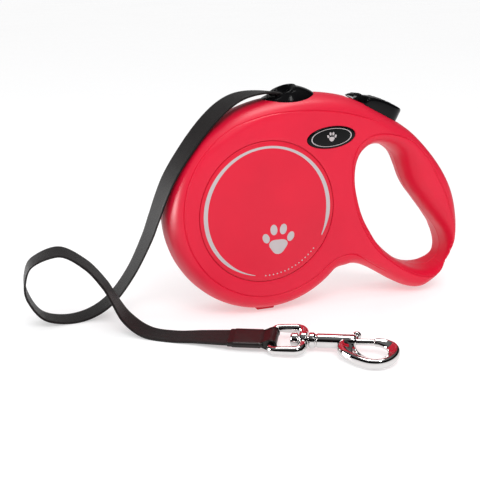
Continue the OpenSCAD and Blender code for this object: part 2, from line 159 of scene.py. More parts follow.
def evenly(points, spacing, closed):
    """The same line with its points spaced evenly."""
    p = np.vstack([points, points[:1]]) if closed else np.array(points)
    lengths = np.hypot(*np.diff(p[:, :2], axis=0).T)
    s = np.concatenate([[0], np.cumsum(lengths)])
    n = max(8, round(s[-1] / spacing))
    at = np.linspace(0, s[-1], n + 1)
    at = at[:-1] if closed else at
    return np.column_stack([np.interp(at, s, p[:, k]) for k in range(p.shape[1])])


def drum_point(angle, r=DRUM_R, centre=DRUM_C):
    a = math.radians(angle)
    return (centre[0] + r * math.cos(a), centre[1] + r * math.sin(a))


def housing_lines():
    """The housing's outline and its handle hole in the frame's X and Z; the hole has a third
    column, the width of its rounding."""
    arc = [drum_point(a) for a in np.arange(DRUM_ARC[0], DRUM_ARC[1] - 0.5, 1.5)]
    lead = [drum_point(DRUM_ARC[1] - 8), drum_point(DRUM_ARC[1])]
    tail = [drum_point(DRUM_ARC[0]), drum_point(DRUM_ARC[0] + 8)]
    rest = through(lead + NECK_TO_TOP + tail, 8)
    outline = np.vstack([arc, rest]) + [REEL[0], 0]
    hole = ring_through(HANDLE_HOLE, 8) + [REEL[0], 0, 0]
    return outline, hole


def nearest(points, line):
    """Distance from each point to a closed line, and the index of its nearest corner."""
    a = line[:, :2]
    ab = np.roll(a, -1, axis=0) - a
    square = (ab ** 2).sum(1)
    best = np.full(len(points), 1e9)
    index = np.zeros(len(points), int)
    for start in range(0, len(points), 2000):
        p = points[start:start + 2000, None, :]
        t = np.clip(((p - a) * ab).sum(2) / square, 0, 1)
        d = np.hypot(*np.moveaxis(p - a - t[..., None] * ab, 2, 0))
        best[start:start + 2000] = d.min(1)
        index[start:start + 2000] = d.argmin(1)
    return best, index


def inside(points, line):
    """Which points lie inside a closed line."""
    x, y = points[:, 0:1], points[:, 1:2]
    x1, y1 = line[:, 0], line[:, 1]
    x2, y2 = np.roll(x1, -1), np.roll(y1, -1)
    crosses = (y1 > y) != (y2 > y)
    with np.errstate(divide="ignore", invalid="ignore"):
        at = x1 + (y - y1) * (x2 - x1) / (y2 - y1)
    return (crosses & (x < at)).sum(1) % 2 == 1


def offset(line, by):
    """A closed line moved sideways: each corner along its own normal, to the left of travel."""
    along = np.roll(line[:, :2], -1, axis=0) - np.roll(line[:, :2], 1, axis=0)
    along /= np.linalg.norm(along, axis=1)[:, None]
    left = np.column_stack([-along[:, 1], along[:, 0]])
    return line[:, :2] + left * np.reshape(by, (-1, 1))


# ---------------------------------------------------------------- meshes

def piece(name, points, faces, finish, uv=None, sharp=35.0):
    """A new object from points in millimetres, its faces turned outwards."""
    mesh = bpy.data.meshes.new(name)
    mesh.from_pydata((np.array(points, float) * MM).tolist(), [], [list(f) for f in faces])
    if uv is not None:
        layer = mesh.uv_layers.new(name="Length")
        for loop in mesh.loops:
            layer.data[loop.index].uv = uv[loop.vertex_index]
    tidy(mesh, uv is None)
    mesh.shade_smooth()
    mesh.set_sharp_from_angle(angle=math.radians(sharp))
    mesh.materials.append(finish)
    made = bpy.data.objects.new(name, mesh)
    bpy.context.scene.collection.objects.link(made)
    return made


def tidy(mesh, merge=True):
    """Merges doubled points and turns the faces outwards."""
    work = bmesh.new()
    work.from_mesh(mesh)
    if merge:
        bmesh.ops.remove_doubles(work, verts=work.verts, dist=2e-6)
        bmesh.ops.dissolve_degenerate(work, edges=work.edges, dist=1e-7)
    bmesh.ops.recalc_face_normals(work, faces=work.faces)
    work.to_mesh(mesh)
    work.free()


def loft(rings, looped=False):
    """Points and faces of a skin over rings with equal counts, closed at both ends or in a loop."""
    rings = np.array(rings, float)
    n, m = rings.shape[:2]
    points = list(rings.reshape(-1, 3))
    faces = []
    for i in range(n if looped else n - 1):
        a, b = i * m, (i + 1) % n * m
        faces += [(a + j, b + j, b + (j + 1) % m, a + (j + 1) % m) for j in range(m)]
    if not looped:
        for row, flip in ((0, False), (n - 1, True)):
            points.append(rings[row].mean(0))
            hub = len(points) - 1
            for j in range(m):
                edge = (row * m + j, row * m + (j + 1) % m)
                faces.append((hub, edge[1], edge[0]) if flip else (hub, edge[0], edge[1]))
    return points, faces


def lathe(profile, origin, axis, side, count=64):
    """A loft of circles: profile holds (place along axis, radius)."""
    axis, side = np.array(axis, float), np.array(side, float)
    other = np.cross(axis, side)
    angles = np.linspace(0, 2 * math.pi, count, endpoint=False)
    circle = np.outer(np.cos(angles), side) + np.outer(np.sin(angles), other)
    return loft([np.array(origin) + axis * along + circle * max(r, 1e-4) for along, r in profile])


def rounded(profile, steps=4):
    """A profile with its corners softened: each (along, radius, rounding) becomes an arc."""
    out = []
    for i, (x, r, soft) in enumerate(profile):
        here = np.array([x, r])
        if soft <= 0 or i in (0, len(profile) - 1):
            out.append(here)
            continue
        before = np.array(profile[i - 1][:2]) - here
        after = np.array(profile[i + 1][:2]) - here
        start = here + before / np.linalg.norm(before) * min(soft, np.linalg.norm(before) / 2)
        end = here + after / np.linalg.norm(after) * min(soft, np.linalg.norm(after) / 2)
        for t in np.linspace(0, 1, steps + 1):
            out.append((1 - t) ** 2 * start + 2 * t * (1 - t) * here + t * t * end)
    return out


def extruded(loop, low, high, place):
    """Points and faces of a flat loop between two heights; place turns (x, y, height) to the frame."""
    rings = [[place(x, y, h) for x, y in loop] for h in (low, high)]
    return loft(rings)


def join(parts):
    """One list of points and faces from several."""
    points, faces = [], []
    for p, f in parts:
        base = len(points)
        points += list(p)
        faces += [tuple(base + i for i in face) for face in f]
    return points, faces


def bevel(made, width, segments=3, angle=30.0):
    """Rounds the piece's edges that are sharper than an angle."""
    work = made.modifiers.new("edges", "BEVEL")
    work.width = width * MM
    work.segments = segments
    work.limit_method = "ANGLE"
    work.angle_limit = math.radians(angle)
    work.harden_normals = False
    apply_all(made)


def apply_all(made):
    """Turns the piece and its modifiers into a plain mesh."""
    graph = bpy.context.evaluated_depsgraph_get()
    mesh = bpy.data.meshes.new_from_object(made.evaluated_get(graph))
    made.modifiers.clear()
    old = made.data
    made.data = mesh
    mesh.name = made.name
    bpy.data.meshes.remove(old)


def cut(made, cutter):
    """Takes the cutter's shape out of the piece."""
    work = made.modifiers.new("opening", "BOOLEAN")
    work.object = cutter
    work.operation = "DIFFERENCE"
    work.solver = "EXACT"
    apply_all(made)


def settle(made, body, slot, *nodes):
    """Attaches a finished piece to its body and hides the nodes that it stands for; the slot is not used."""
    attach(made, body)
    if nodes:
        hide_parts(*nodes)
    return made


# ---------------------------------------------------------------- shader building

def math_node(tree, operation, a, b=None, clamp=False):
    """A Math node whose inputs are numbers or sockets; returns its output."""
    made = tree.nodes.new("ShaderNodeMath")
    made.operation = operation
    made.use_clamp = clamp
    for socket, value in zip(made.inputs, (a, b)):
        if value is None:
            continue
        if isinstance(value, (int, float)):
            socket.default_value = value
        else:
            tree.links.new(value, socket)
    return made.outputs[0]


def ramp(tree, value, low, high, to_low=0.0, to_high=1.0):
    """A value carried from one range to another."""
    made = tree.nodes.new("ShaderNodeMapRange")
    tree.links.new(value, made.inputs["Value"])
    for label, number in (("From Min", low), ("From Max", high), ("To Min", to_low),
                          ("To Max", to_high)):
        made.inputs[label].default_value = number
    return made.outputs["Result"]


def mixed(tree, factor, a, b):
    """A colour mix: a and b are colours or sockets."""
    made = tree.nodes.new("ShaderNodeMix")
    made.data_type = "RGBA"
    tree.links.new(factor, made.inputs["Factor"])
    for socket, value in ((made.inputs[6], a), (made.inputs[7], b)):
        if isinstance(value, tuple):
            socket.default_value = value
        else:
            tree.links.new(value, socket)
    return made.outputs[2]


def new_group(name, inputs, outputs):
    """An empty shader group with named float inputs, a Vector input and named outputs."""
    tree = bpy.data.node_groups.new(name, "ShaderNodeTree")
    tree.interface.new_socket("Vector", in_out="INPUT", socket_type="NodeSocketVector")
    for label, value in inputs.items():
        made = tree.interface.new_socket(label, in_out="INPUT", socket_type="NodeSocketFloat")
        made.default_value = value
    for label in outputs:
        tree.interface.new_socket(label, in_out="OUTPUT", socket_type="NodeSocketFloat")
    return tree, tree.nodes.new("NodeGroupInput").outputs, tree.nodes.new("NodeGroupOutput").inputs


def noise(tree, vector, scale, detail=2.0, roughness=0.5):
    made = tree.nodes.new("ShaderNodeTexNoise")
    made.inputs["Scale"].default_value = scale
    made.inputs["Detail"].default_value = detail
    made.inputs["Roughness"].default_value = roughness
    tree.links.new(vector, made.inputs["Vector"])
    return made.outputs["Fac"]


def moulded_grain_group():
    """Fine spark grain of a moulding tool, soft flow mottling and patches rubbed by hands."""
    tree, given, out = new_group("moulded_grain", {"Grain": 1600.0, "Mottle": 22.0},
                                 ["Height", "Tone", "Rubbed"])
    grain = tree.nodes.new("ShaderNodeTexNoise")
    grain.inputs["Detail"].default_value = 3.0
    tree.links.new(given["Vector"], grain.inputs["Vector"])
    tree.links.new(given["Grain"], grain.inputs["Scale"])
    mottle = tree.nodes.new("ShaderNodeTexNoise")
    mottle.inputs["Detail"].default_value = 4.0
    tree.links.new(given["Vector"], mottle.inputs["Vector"])
    tree.links.new(given["Mottle"], mottle.inputs["Scale"])
    patches = noise(tree, given["Vector"], 9.0, 5.0, 0.62)
    tree.links.new(grain.outputs["Fac"], out["Height"])
    tree.links.new(ramp(tree, mottle.outputs["Fac"], 0.3, 0.7), out["Tone"])
    tree.links.new(ramp(tree, patches, 0.45, 0.75), out["Rubbed"])
    return tree


def fine_scratches_group():
    """Hairline scratches in two directions and faint smears, for plated and plain metal."""
    tree, given, out = new_group("fine_scratches", {"Fineness": 900.0}, ["Height", "Smear"])
    heights = []
    for turn in (0.4, 2.1):
        place = tree.nodes.new("ShaderNodeMapping")
        place.inputs["Rotation"].default_value = (turn, 0.3 * turn, turn)
        place.inputs["Scale"].default_value = (1.0, 0.03, 1.0)
        tree.links.new(given["Vector"], place.inputs["Vector"])
        lines = tree.nodes.new("ShaderNodeTexNoise")
        lines.inputs["Detail"].default_value = 1.0
        tree.links.new(place.outputs["Vector"], lines.inputs["Vector"])
        tree.links.new(given["Fineness"], lines.inputs["Scale"])
        heights.append(ramp(tree, lines.outputs["Fac"], 0.64, 0.72))
    tree.links.new(math_node(tree, "MAXIMUM", heights[0], heights[1]), out["Height"])
    tree.links.new(ramp(tree, noise(tree, given["Vector"], 60.0, 4.0), 0.4, 0.75), out["Smear"])
    return tree


def tape_weave_group():
    """A narrow twill: warp ends along the tape and slanting picks across it, in millimetres. Its Shade output
    is painted light and shade: the raised yarn lighter and the hollows between darker, times a random fuzz
    tone.
    """
    tree, given, out = new_group("tape_weave", {"Ends": 1.7, "Picks": 1.25, "Half Width": 8.5},
                                 ["Height", "Shade", "Selvage"])
    split = tree.nodes.new("ShaderNodeSeparateXYZ")
    tree.links.new(given["Vector"], split.inputs["Vector"])
    length, width = split.outputs["X"], split.outputs["Y"]
    fold = math_node(tree, "PINGPONG", width, 2.2)
    slant = math_node(tree, "ADD", math_node(tree, "MULTIPLY", length, given["Picks"]),
                      math_node(tree, "MULTIPLY", fold, 0.55))
    picks = math_node(tree, "ABSOLUTE", math_node(tree, "SINE", math_node(
        tree, "MULTIPLY", slant, math.pi)))
    ends = math_node(tree, "ABSOLUTE", math_node(tree, "SINE", math_node(
        tree, "MULTIPLY", math_node(tree, "MULTIPLY", width, given["Ends"]), math.pi)))
    cloth = math_node(tree, "MULTIPLY", math_node(tree, "POWER", picks, 0.6),
                      math_node(tree, "POWER", ends, 0.4))
    fuzz = noise(tree, given["Vector"], 3.1, 3.0)
    edge = ramp(tree, math_node(tree, "SUBTRACT", given["Half Width"],
                                math_node(tree, "ABSOLUTE", width)), 0.3, 1.1, 1.0, 0.0)
    height = math_node(tree, "ADD", cloth, math_node(tree, "MULTIPLY", fuzz, 0.35))
    tree.links.new(height, out["Height"])
    # Shade: painted highlight on the raised yarn and painted shade in the weave's hollows, times a random
    # fuzz tone
    tree.links.new(math_node(tree, "MULTIPLY", cloth, fuzz), out["Shade"])
    tree.links.new(edge, out["Selvage"])
    return tree


def hide_grain_group():
    """Pebbled grain of coated leather with soft creases."""
    tree, given, out = new_group("hide_grain", {"Pebbles": 950.0, "Creases": 90.0},
                                 ["Height", "Tone"])
    cells = tree.nodes.new("ShaderNodeTexVoronoi")
    cells.feature = "SMOOTH_F1"
    tree.links.new(given["Vector"], cells.inputs["Vector"])
    tree.links.new(given["Pebbles"], cells.inputs["Scale"])
    creases = tree.nodes.new("ShaderNodeTexNoise")
    creases.inputs["Detail"].default_value = 5.0
    tree.links.new(given["Vector"], creases.inputs["Vector"])
    tree.links.new(given["Creases"], creases.inputs["Scale"])
    tree.links.new(math_node(tree, "ADD", cells.outputs["Distance"], creases.outputs["Fac"]),
                   out["Height"])
    tree.links.new(ramp(tree, creases.outputs["Fac"], 0.35, 0.7), out["Tone"])
    return tree


GROUPS = {
    "moulded_grain": moulded_grain_group,
    "fine_scratches": fine_scratches_group,
    "tape_weave": tape_weave_group,
    "hide_grain": hide_grain_group,
}


def effect(tree, name, coords="Object", **values):
    """One of the shared effects, placed in a material with its own values."""
    made = tree.nodes.new("ShaderNodeGroup")
    made.node_tree = bpy.data.node_groups.get(name) or GROUPS[name]()
    place = tree.nodes.new("ShaderNodeTexCoord")
    tree.links.new(place.outputs[coords], made.inputs["Vector"])
    for label, value in values.items():
        made.inputs[label.replace("_", " ").title()].default_value = value
    return made.outputs


def bump(tree, height, distance, strength=1.0):
    """A Bump node's normal, with its depth in millimetres."""
    made = tree.nodes.new("ShaderNodeBump")
    made.inputs["Strength"].default_value = strength
    made.inputs["Distance"].default_value = distance * MM
    tree.links.new(height, made.inputs["Height"])
    return made.outputs["Normal"]


def finish_named(name):
    """A new material, its tree and its Principled shader, or the material if it is there."""
    old = bpy.data.materials.get(name)
    if old:
        return old, None, None
    made = bpy.data.materials.new(name)
    made.use_nodes = True
    tree = made.node_tree
    shader = tree.nodes["Principled BSDF"]
    return made, tree, shader


def set_shader(shader, **values):
    for label, value in values.items():
        shader.inputs[label.replace("_", " ")].default_value = value


def shade_of(colour, factor):
    """A colour made darker or lighter, with its alpha."""
    return tuple(min(1.0, c * factor) for c in colour[:3]) + (1.0,)


def moulded_plastic(name, colour, rough, grain_depth, coat=0.0, tone=0.12, rub=0.08,
                    glow=0.0, specular=0.5):
    """Injection-moulded plastic: spark grain, mottled tone and rubbed, smoother patches."""
    made, tree, shader = finish_named(name)
    if tree is None:
        return made
    grain = effect(tree, "moulded_grain", grain=1500.0, mottle=24.0)
    tones = mixed(tree, grain["Tone"], shade_of(colour, 1 - tone), shade_of(colour, 1 + tone))
    tree.links.new(tones, shader.inputs["Base Color"])
    tree.links.new(ramp(tree, grain["Rubbed"], 0, 1, rough, max(rough - rub, 0.02)),
                   shader.inputs["Roughness"])
    tree.links.new(bump(tree, grain["Height"], grain_depth), shader.inputs["Normal"])
    set_shader(shader, Coat_Weight=coat, Coat_Roughness=0.08, Subsurface_Weight=glow,
               Subsurface_Radius=(0.004, 0.001, 0.001), Specular_IOR_Level=specular)
    return made


def polished_metal(name, colour, rough, scratch_depth, smear=0.08):
    """Plated or ground metal with hairlines and faint smears."""
    made, tree, shader = finish_named(name)
    if tree is None:
        return made
    lines = effect(tree, "fine_scratches", fineness=900.0)
    tones = mixed(tree, lines["Smear"], tuple(colour), shade_of(colour, 0.93))
    tree.links.new(tones, shader.inputs["Base Color"])
    tree.links.new(ramp(tree, lines["Smear"], 0, 1, rough, rough + smear),
                   shader.inputs["Roughness"])
    tree.links.new(bump(tree, lines["Height"], scratch_depth, 0.4), shader.inputs["Normal"])
    set_shader(shader, Metallic=1.0)
    return made


def woven_tape(name, colour, coords):
    """Tight polyester webbing with a slanting pick and a denser edge."""
    made, tree, shader = finish_named(name)
    if tree is None:
        return made
    cloth = effect(tree, "tape_weave", coords, ends=1.7, picks=1.25, half_width=8.5)
    # The tape's colour: painted highlight on the raised yarn and painted shade in the hollows of the weave,
    # with a random fuzz tone
    tones = mixed(tree, cloth["Shade"], shade_of(colour, 0.6), shade_of(colour, 1.7))
    tree.links.new(mixed(tree, cloth["Selvage"], tones, shade_of(colour, 0.8)),
                   shader.inputs["Base Color"])
    tree.links.new(ramp(tree, cloth["Height"], 0.2, 1.2, 0.62, 0.46), shader.inputs["Roughness"])
    tree.links.new(bump(tree, cloth["Height"], 0.07, 0.8), shader.inputs["Normal"])
    set_shader(shader, Sheen_Weight=0.08, Sheen_Roughness=0.4, Specular_IOR_Level=0.25)
    return made


def coated_leather(name, colour):
    """Smooth brown-black coated leather with a fine pebble."""
    made, tree, shader = finish_named(name)
    if tree is None:
        return made
    hide = effect(tree, "hide_grain", pebbles=1100.0, creases=120.0)
    tree.links.new(mixed(tree, hide["Tone"], shade_of(colour, 0.75), shade_of(colour, 1.25)),
                   shader.inputs["Base Color"])
    tree.links.new(ramp(tree, hide["Tone"], 0, 1, 0.34, 0.46), shader.inputs["Roughness"])
    tree.links.new(bump(tree, hide["Height"], 0.05, 0.6), shader.inputs["Normal"])
    set_shader(shader, Specular_IOR_Level=0.35, Coat_Weight=0.06, Coat_Roughness=0.3)
    return made


def colour_of(context, name):
    return tuple(getattr(context.scene.leash_colours, name)) + (1.0,)


def red_shell(context):
    return moulded_plastic("red_shell", colour_of(context, "housing"), 0.42, 0.006,
                           tone=0.05, glow=0.05, specular=0.36)


def red_disc(context):
    return moulded_plastic("red_disc", colour_of(context, "disc"), 0.42, 0.005,
                           tone=0.05, glow=0.05, specular=0.4)


def gloss_black(context):
    return moulded_plastic("gloss_black", colour_of(context, "trim"), 0.14, 0.001,
                           tone=0.3, rub=0.04, specular=0.16)


def print_grey(context):
    return moulded_plastic("print_grey", colour_of(context, "print_colour"), 0.38, 0.002,
                           tone=0.06)


def reel_white(context):
    return moulded_plastic("reel_white", (0.72, 0.7, 0.66, 1.0), 0.5, 0.004, tone=0.06)


def chrome_plate(context):
    return polished_metal("chrome_plate", colour_of(context, "hook"), 0.02, 0.0006, 0.03)


def spring_steel(context):
    return polished_metal("spring_steel", (0.42, 0.42, 0.44, 1.0), 0.26, 0.004, 0.12)


def screw_zinc(context):
    return polished_metal("screw_zinc", (0.5, 0.5, 0.53, 1.0), 0.22, 0.003, 0.1)


def tape_finish(context):
    return woven_tape("tape_black", colour_of(context, "tape"), "UV")


def tape_inside(context):
    return woven_tape("tape_inside", colour_of(context, "tape"), "Object")


def sleeve_finish(context):
    return coated_leather("sleeve_leather", colour_of(context, "sleeve"))


def loop_finish(context):
    return coated_leather("loop_leather", shade_of(colour_of(context, "tape"), 0.8))


# ---------------------------------------------------------------- copies on points

def copies_tree():
    """Geometry Nodes: one copy of a piece at each point of a mesh, joined into one mesh."""
    name = "copies_on_points"
    old = bpy.data.node_groups.get(name)
    if old:
        return old
    tree = bpy.data.node_groups.new(name, "GeometryNodeTree")
    face = tree.interface
    face.new_socket("Geometry", in_out="INPUT", socket_type="NodeSocketGeometry")
    face.new_socket("Piece", in_out="INPUT", socket_type="NodeSocketObject")
    face.new_socket("Turn", in_out="INPUT", socket_type="NodeSocketRotation")
    face.new_socket("Size", in_out="INPUT", socket_type="NodeSocketFloat").default_value = 1.0
    face.new_socket("Finish", in_out="INPUT", socket_type="NodeSocketMaterial")
    face.new_socket("Geometry", in_out="OUTPUT", socket_type="NodeSocketGeometry")
    given = tree.nodes.new("NodeGroupInput").outputs
    source = tree.nodes.new("GeometryNodeObjectInfo")
    copies = tree.nodes.new("GeometryNodeInstanceOnPoints")
    real = tree.nodes.new("GeometryNodeRealizeInstances")
    paint = tree.nodes.new("GeometryNodeSetMaterial")
    out = tree.nodes.new("NodeGroupOutput")
    link = tree.links.new
    link(given["Piece"], source.inputs["Object"])
    link(given["Geometry"], copies.inputs["Points"])
    link(source.outputs["Geometry"], copies.inputs["Instance"])
    link(given["Turn"], copies.inputs["Rotation"])
    link(given["Size"], copies.inputs["Scale"])
    link(copies.outputs["Instances"], real.inputs["Geometry"])
    link(real.outputs["Geometry"], paint.inputs["Geometry"])
    link(given["Finish"], paint.inputs["Material"])
    link(paint.outputs["Geometry"], out.inputs["Geometry"])
    return tree


def copies(name, template, points, finish, turn=(0.0, 0.0, 0.0), size=1.0):
    """A piece made of a template's copies at points in millimetres; the template is removed."""
    mesh = bpy.data.meshes.new(name)
    mesh.from_pydata((np.array(points, float) * MM).tolist(), [], [])
    made = bpy.data.objects.new(name, mesh)
    bpy.context.scene.collection.objects.link(made)
    work = made.modifiers.new("copies", "NODES")
    tree = copies_tree()
    work.node_group = tree
    values = {"Piece": template, "Turn": turn, "Size": size, "Finish": finish}
    for item in tree.interface.items_tree:
        if item.in_out == "INPUT" and item.name in values:
            work[item.identifier] = values[item.name]
    apply_all(made)
    bpy.data.objects.remove(template)
    return made


# ---------------------------------------------------------------- housing

RIM = 9.4
ROUND = 2.15
WALL = 2.5
SEAM = 0.28
GROOVE = 0.55
DISC_GAP = 0.3
RECESS = 1.2


def quarter(t):
    """Height of a rounded edge, 0 to 1, at a share of its width."""
    t = np.clip(t, 0, 1)
    return (1 - (1 - t) ** ROUND) ** (1 / ROUND)


def groove_lines(hole):
    """The grooves on a face: round the drum and the top, and round the handle hole.
    Each row is X, Z and depth, which fades at the open ends."""
    centre, r, first, last = FACE_ARC
    arc = [drum_point(a, r, centre) for a in np.linspace(first, last, 24)]
    face = open_through(FACE_TOP + arc + FACE_NECK, 6) + [REEL[0], 0]
    face = evenly(face, 1.1, False)
    share = np.arange(len(face)) / len(face)
    depth = np.clip(np.minimum(share / 0.03, (1 - share) / 0.03), 0, 1)
    outer = offset(hole, hole[:, 2] + 0.2)
    ring = evenly(outer, 1.1, True)
    return np.column_stack([face, depth]), np.column_stack([ring, np.ones(len(ring))])


def groove_depth(points, lines):
    """How deep the grooves cut at each point, in millimetres."""
    deep = np.zeros(len(points))
    for line, closed in lines:
        a = line[:, :2]
        b = np.roll(a, -1, axis=0)
        if not closed:
            a, b = a[:-1], b[:-1]
        ab = b - a
        square = (ab ** 2).sum(1)
        for start in range(0, len(points), 2000):
            p = points[start:start + 2000, None, :]
            t = np.clip(((p - a) * ab).sum(2) / square, 0, 1)
            d = np.hypot(*np.moveaxis(p - a - t[..., None] * ab, 2, 0))
            near = d.argmin(1)
            weight = line[near, 2]
            s = np.clip(d.min(1) / GROOVE, 0, 1)
            deep[start:start + 2000] = np.maximum(deep[start:start + 2000],
                                                  0.5 * weight * (1 - s * s) ** 2)
    return deep


def badge_share(points, grow=0.0):
    """How far out a point is on the badge's oval: 1 on its edge."""
    a = math.radians(BADGE_TILT)
    x, z = points[:, 0] - BADGE_AT[0], points[:, 1] - BADGE_AT[2]
    along, over = x * math.cos(a) + z * math.sin(a), -x * math.sin(a) + z * math.cos(a)
    return np.hypot(along / (BADGE_HALF[0] + grow), over / (BADGE_HALF[1] + grow))


def shell_height(points, outline, hole, lines):
    """Height of the outer face over the parting plane."""
    out, _ = nearest(points, outline)
    back, index = nearest(points, hole)
    height = HALF_DEPTH * quarter(out / RIM) * quarter(back / hole[index, 2])
    height -= groove_depth(points, lines)
    radius = np.hypot(points[:, 0] - REEL[0], points[:, 1] - REEL[2])
    lip = np.clip((radius - DISC_R - DISC_GAP) / 0.5, 0, 1)
    height -= 0.3 * (1 - lip) ** 2
    sunk = radius < DISC_R + DISC_GAP
    height[sunk] = HALF_DEPTH - RECESS
    height[badge_share(points, 0.3) < 1] = HALF_DEPTH - 0.8
    return height


def inner_height(points, outline, hole):
    """Height of the hollow inside over the parting plane."""
    out, _ = nearest(points, outline)
    back, index = nearest(points, hole)
    return 16 * quarter((out - WALL) / (RIM - 2)) * quarter((back - WALL) / hole[index, 2])


class Scatter:
    """Points kept at least a given distance apart, those given first kept first."""

    def __init__(self):
        self.points, self.cells, self.cell = [], {}, 0.7

    def add(self, points, apart):
        reach = int(math.ceil(apart / self.cell))
        for x, z in points:
            i, j = int(math.floor(x / self.cell)), int(math.floor(z / self.cell))
            near = (q for a in range(i - reach, i + reach + 1) for b in range(j - reach, j + reach + 1)
                    for q in self.cells.get((a, b), ()))
            if all((x - q[0]) ** 2 + (z - q[1]) ** 2 >= apart * apart for q in near):
                self.points.append((x, z))
                self.cells.setdefault((i, j), []).append((x, z))


def triangles(loops, others):
    """Triangles that fill the space between two closed loops, through other points too."""
    points = [tuple(p) for loop in loops for p in loop[:, :2]] + list(others)
    edges, base = [], 0
    for loop in loops:
        n = len(loop)
        edges += [(base + i, base + (i + 1) % n) for i in range(n)]
        base += n
    found = delaunay_2d_cdt([Vector(p) for p in points], edges, [], 0, 1e-7)
    corners = np.array([tuple(v) for v in found[0]])
    faces = np.array([f for f in found[2] if len(f) == 3])
    middle = corners[faces].mean(1)
    keep = inside(middle, loops[0][:, :2]) & ~inside(middle, loops[1][:, :2])
    return corners, faces[keep], [v[0] if v else -1 for v in found[3]]


def fill_points(outline, hole, lines):
    """Where the outer face has its points: rows along its edges and grooves, then a grid."""
    kept = Scatter()
    kept.add(outline[:, :2], 0.0)
    kept.add(hole[:, :2], 0.0)
    for line, closed in lines:
        for by in (0, -0.3, 0.3, -0.56, 0.56, -0.95, 0.95):
            moved = offset(line, by)
            kept.add(moved if closed else moved[2:-2], 0.24)
    turns = np.linspace(0, 2 * math.pi, 260, endpoint=False)
    for r in (DISC_R + DISC_GAP - 0.04, DISC_R + DISC_GAP + 0.02, DISC_R + DISC_GAP + 0.2,
              DISC_R + DISC_GAP + 0.55, DISC_R - 2):
        kept.add(np.column_stack([REEL[0] + r * np.cos(turns), REEL[2] + r * np.sin(turns)]), 0.05)
    a = math.radians(BADGE_TILT)
    spin = np.array([[math.cos(a), -math.sin(a)], [math.sin(a), math.cos(a)]])
    for grow in (0.26, 0.32, 1.0):
        oval = np.column_stack([(BADGE_HALF[0] + grow) * np.cos(turns[::2]),
                                (BADGE_HALF[1] + grow) * np.sin(turns[::2])])
        kept.add(oval @ spin.T + [BADGE_AT[0], BADGE_AT[2]], 0.05)
    for by in (0.12, 0.35, 0.75, 1.3, 2.0, 2.9, 4.0, 5.2, 6.6, 8.0, 9.4):
        spacing = 0.3 * by + 0.1 if by < 2 else 0.75
        kept.add(offset(outline, by), spacing)
        kept.add(offset(hole, by), spacing)
    for share in np.linspace(0.2, 1, 9):
        kept.add(offset(hole, hole[:, 2] * share)[hole[:, 2] > 5.5], 1.0)
    low, high = outline.min(0), outline.max(0)
    grid = [(x + (1.3 if row % 2 else 0), z) for row, z in enumerate(np.arange(low[1], high[1], 2.2))
            for x in np.arange(low[0], high[0], 2.6)]
    kept.add(grid, 1.4)
    own = np.array(kept.points[len(outline) + len(hole):])
    clear = (inside(own, outline) & ~inside(own, hole[:, :2])
             & (nearest(own, outline)[0] > 0.1) & (nearest(own, hole)[0] > 0.1))
    return [tuple(p) for p in own[clear]]


def half_shell(side):
    """One half of the housing as a closed, hollow shell; side is -1 for the front."""
    outline, hole = housing_lines()
    outline = evenly(outline, 1.5, True)
    hole = evenly(hole, 1.5, True)
    grooves = groove_lines(hole)
    lines = [(grooves[0], False), (grooves[1], True)]
    corners, faces, _ = triangles([outline, hole], fill_points(outline, hole, lines))
    height = shell_height(corners, outline, hole, lines)
    edge = np.minimum(nearest(corners, outline)[0], nearest(corners, hole)[0]) < 1e-4
    height[edge] = SEAM
    outer = np.column_stack([corners[:, 0], side * height, corners[:, 1]])

    rims = []
    inner_loops = []
    for loop in (outline, hole):
        lip = offset(loop, SEAM)
        deep = evenly(offset(loop, WALL), 2.5, True)
        inner_loops.append(deep)
        rims.append((loop[:, :2], lip, deep))
    low, high = outline.min(0), outline.max(0)
    grid = Scatter()
    for by in (0.4, 1.2, 2.6, 4.6):
        for loop in inner_loops:
            grid.add(offset(loop, by), 1.6)
    grid.add([(x, z) for x in np.arange(low[0], high[0], 5) for z in np.arange(low[1], high[1], 5)], 3)
    own = np.array(grid.points)
    clear = inside(own, inner_loops[0]) & ~inside(own, inner_loops[1])
    for loop in inner_loops:
        clear &= nearest(own, loop)[0] > 0.3
    floor, floor_faces, _ = triangles(inner_loops, [tuple(p) for p in own[clear]])
    hollow = inner_height(floor, outline, hole)
    edge = np.minimum(nearest(floor, inner_loops[0])[0], nearest(floor, inner_loops[1])[0]) < 1e-4
    hollow[edge] = 0
    inner = np.column_stack([floor[:, 0], side * hollow, floor[:, 1]])

    parts = [(outer, [tuple(f) for f in faces]), (inner, [tuple(f) for f in floor_faces])]
    for loop, lip, deep in rims:
        n = len(loop)
        points = np.vstack([np.column_stack([loop[:, 0], np.full(n, side * SEAM), loop[:, 1]]),
                            np.column_stack([lip[:, 0], np.zeros(n), lip[:, 1]])])
        parts.append((points, [(i, (i + 1) % n, n + (i + 1) % n, n + i) for i in range(n)]))
        parts.append(parting_ring(lip, deep))
    return join(parts)


def parting_ring(lip, deep):
    """The flat parting face between two loops with different counts."""
    loops = [lip, deep] if inside(deep[:1], lip)[0] else [deep, lip]
    corners, faces, _ = triangles(loops, [])
    return np.column_stack([corners[:, 0], np.zeros(len(corners)), corners[:, 1]]), \
        [tuple(f) for f in faces]


def on_seat(x, y, h):
    """A point on the button's seat: along the slope, across, and out of the housing."""
    return SEAT + x * SLOPE + np.array([0, y, 0]) + h * OUT_OF_SEAT


def thumb_outline(grow, steps=20):
    """Plan of the thumb button: square in front and round behind."""
    half, front, back = 9.5 + grow, -8 - grow, 12.5
    turns = np.linspace(-math.pi / 2, math.pi / 2, steps)
    arc = [(back + half * math.cos(a), half * math.sin(a)) for a in turns]
    return [(front, half), (front, -half)] + arc


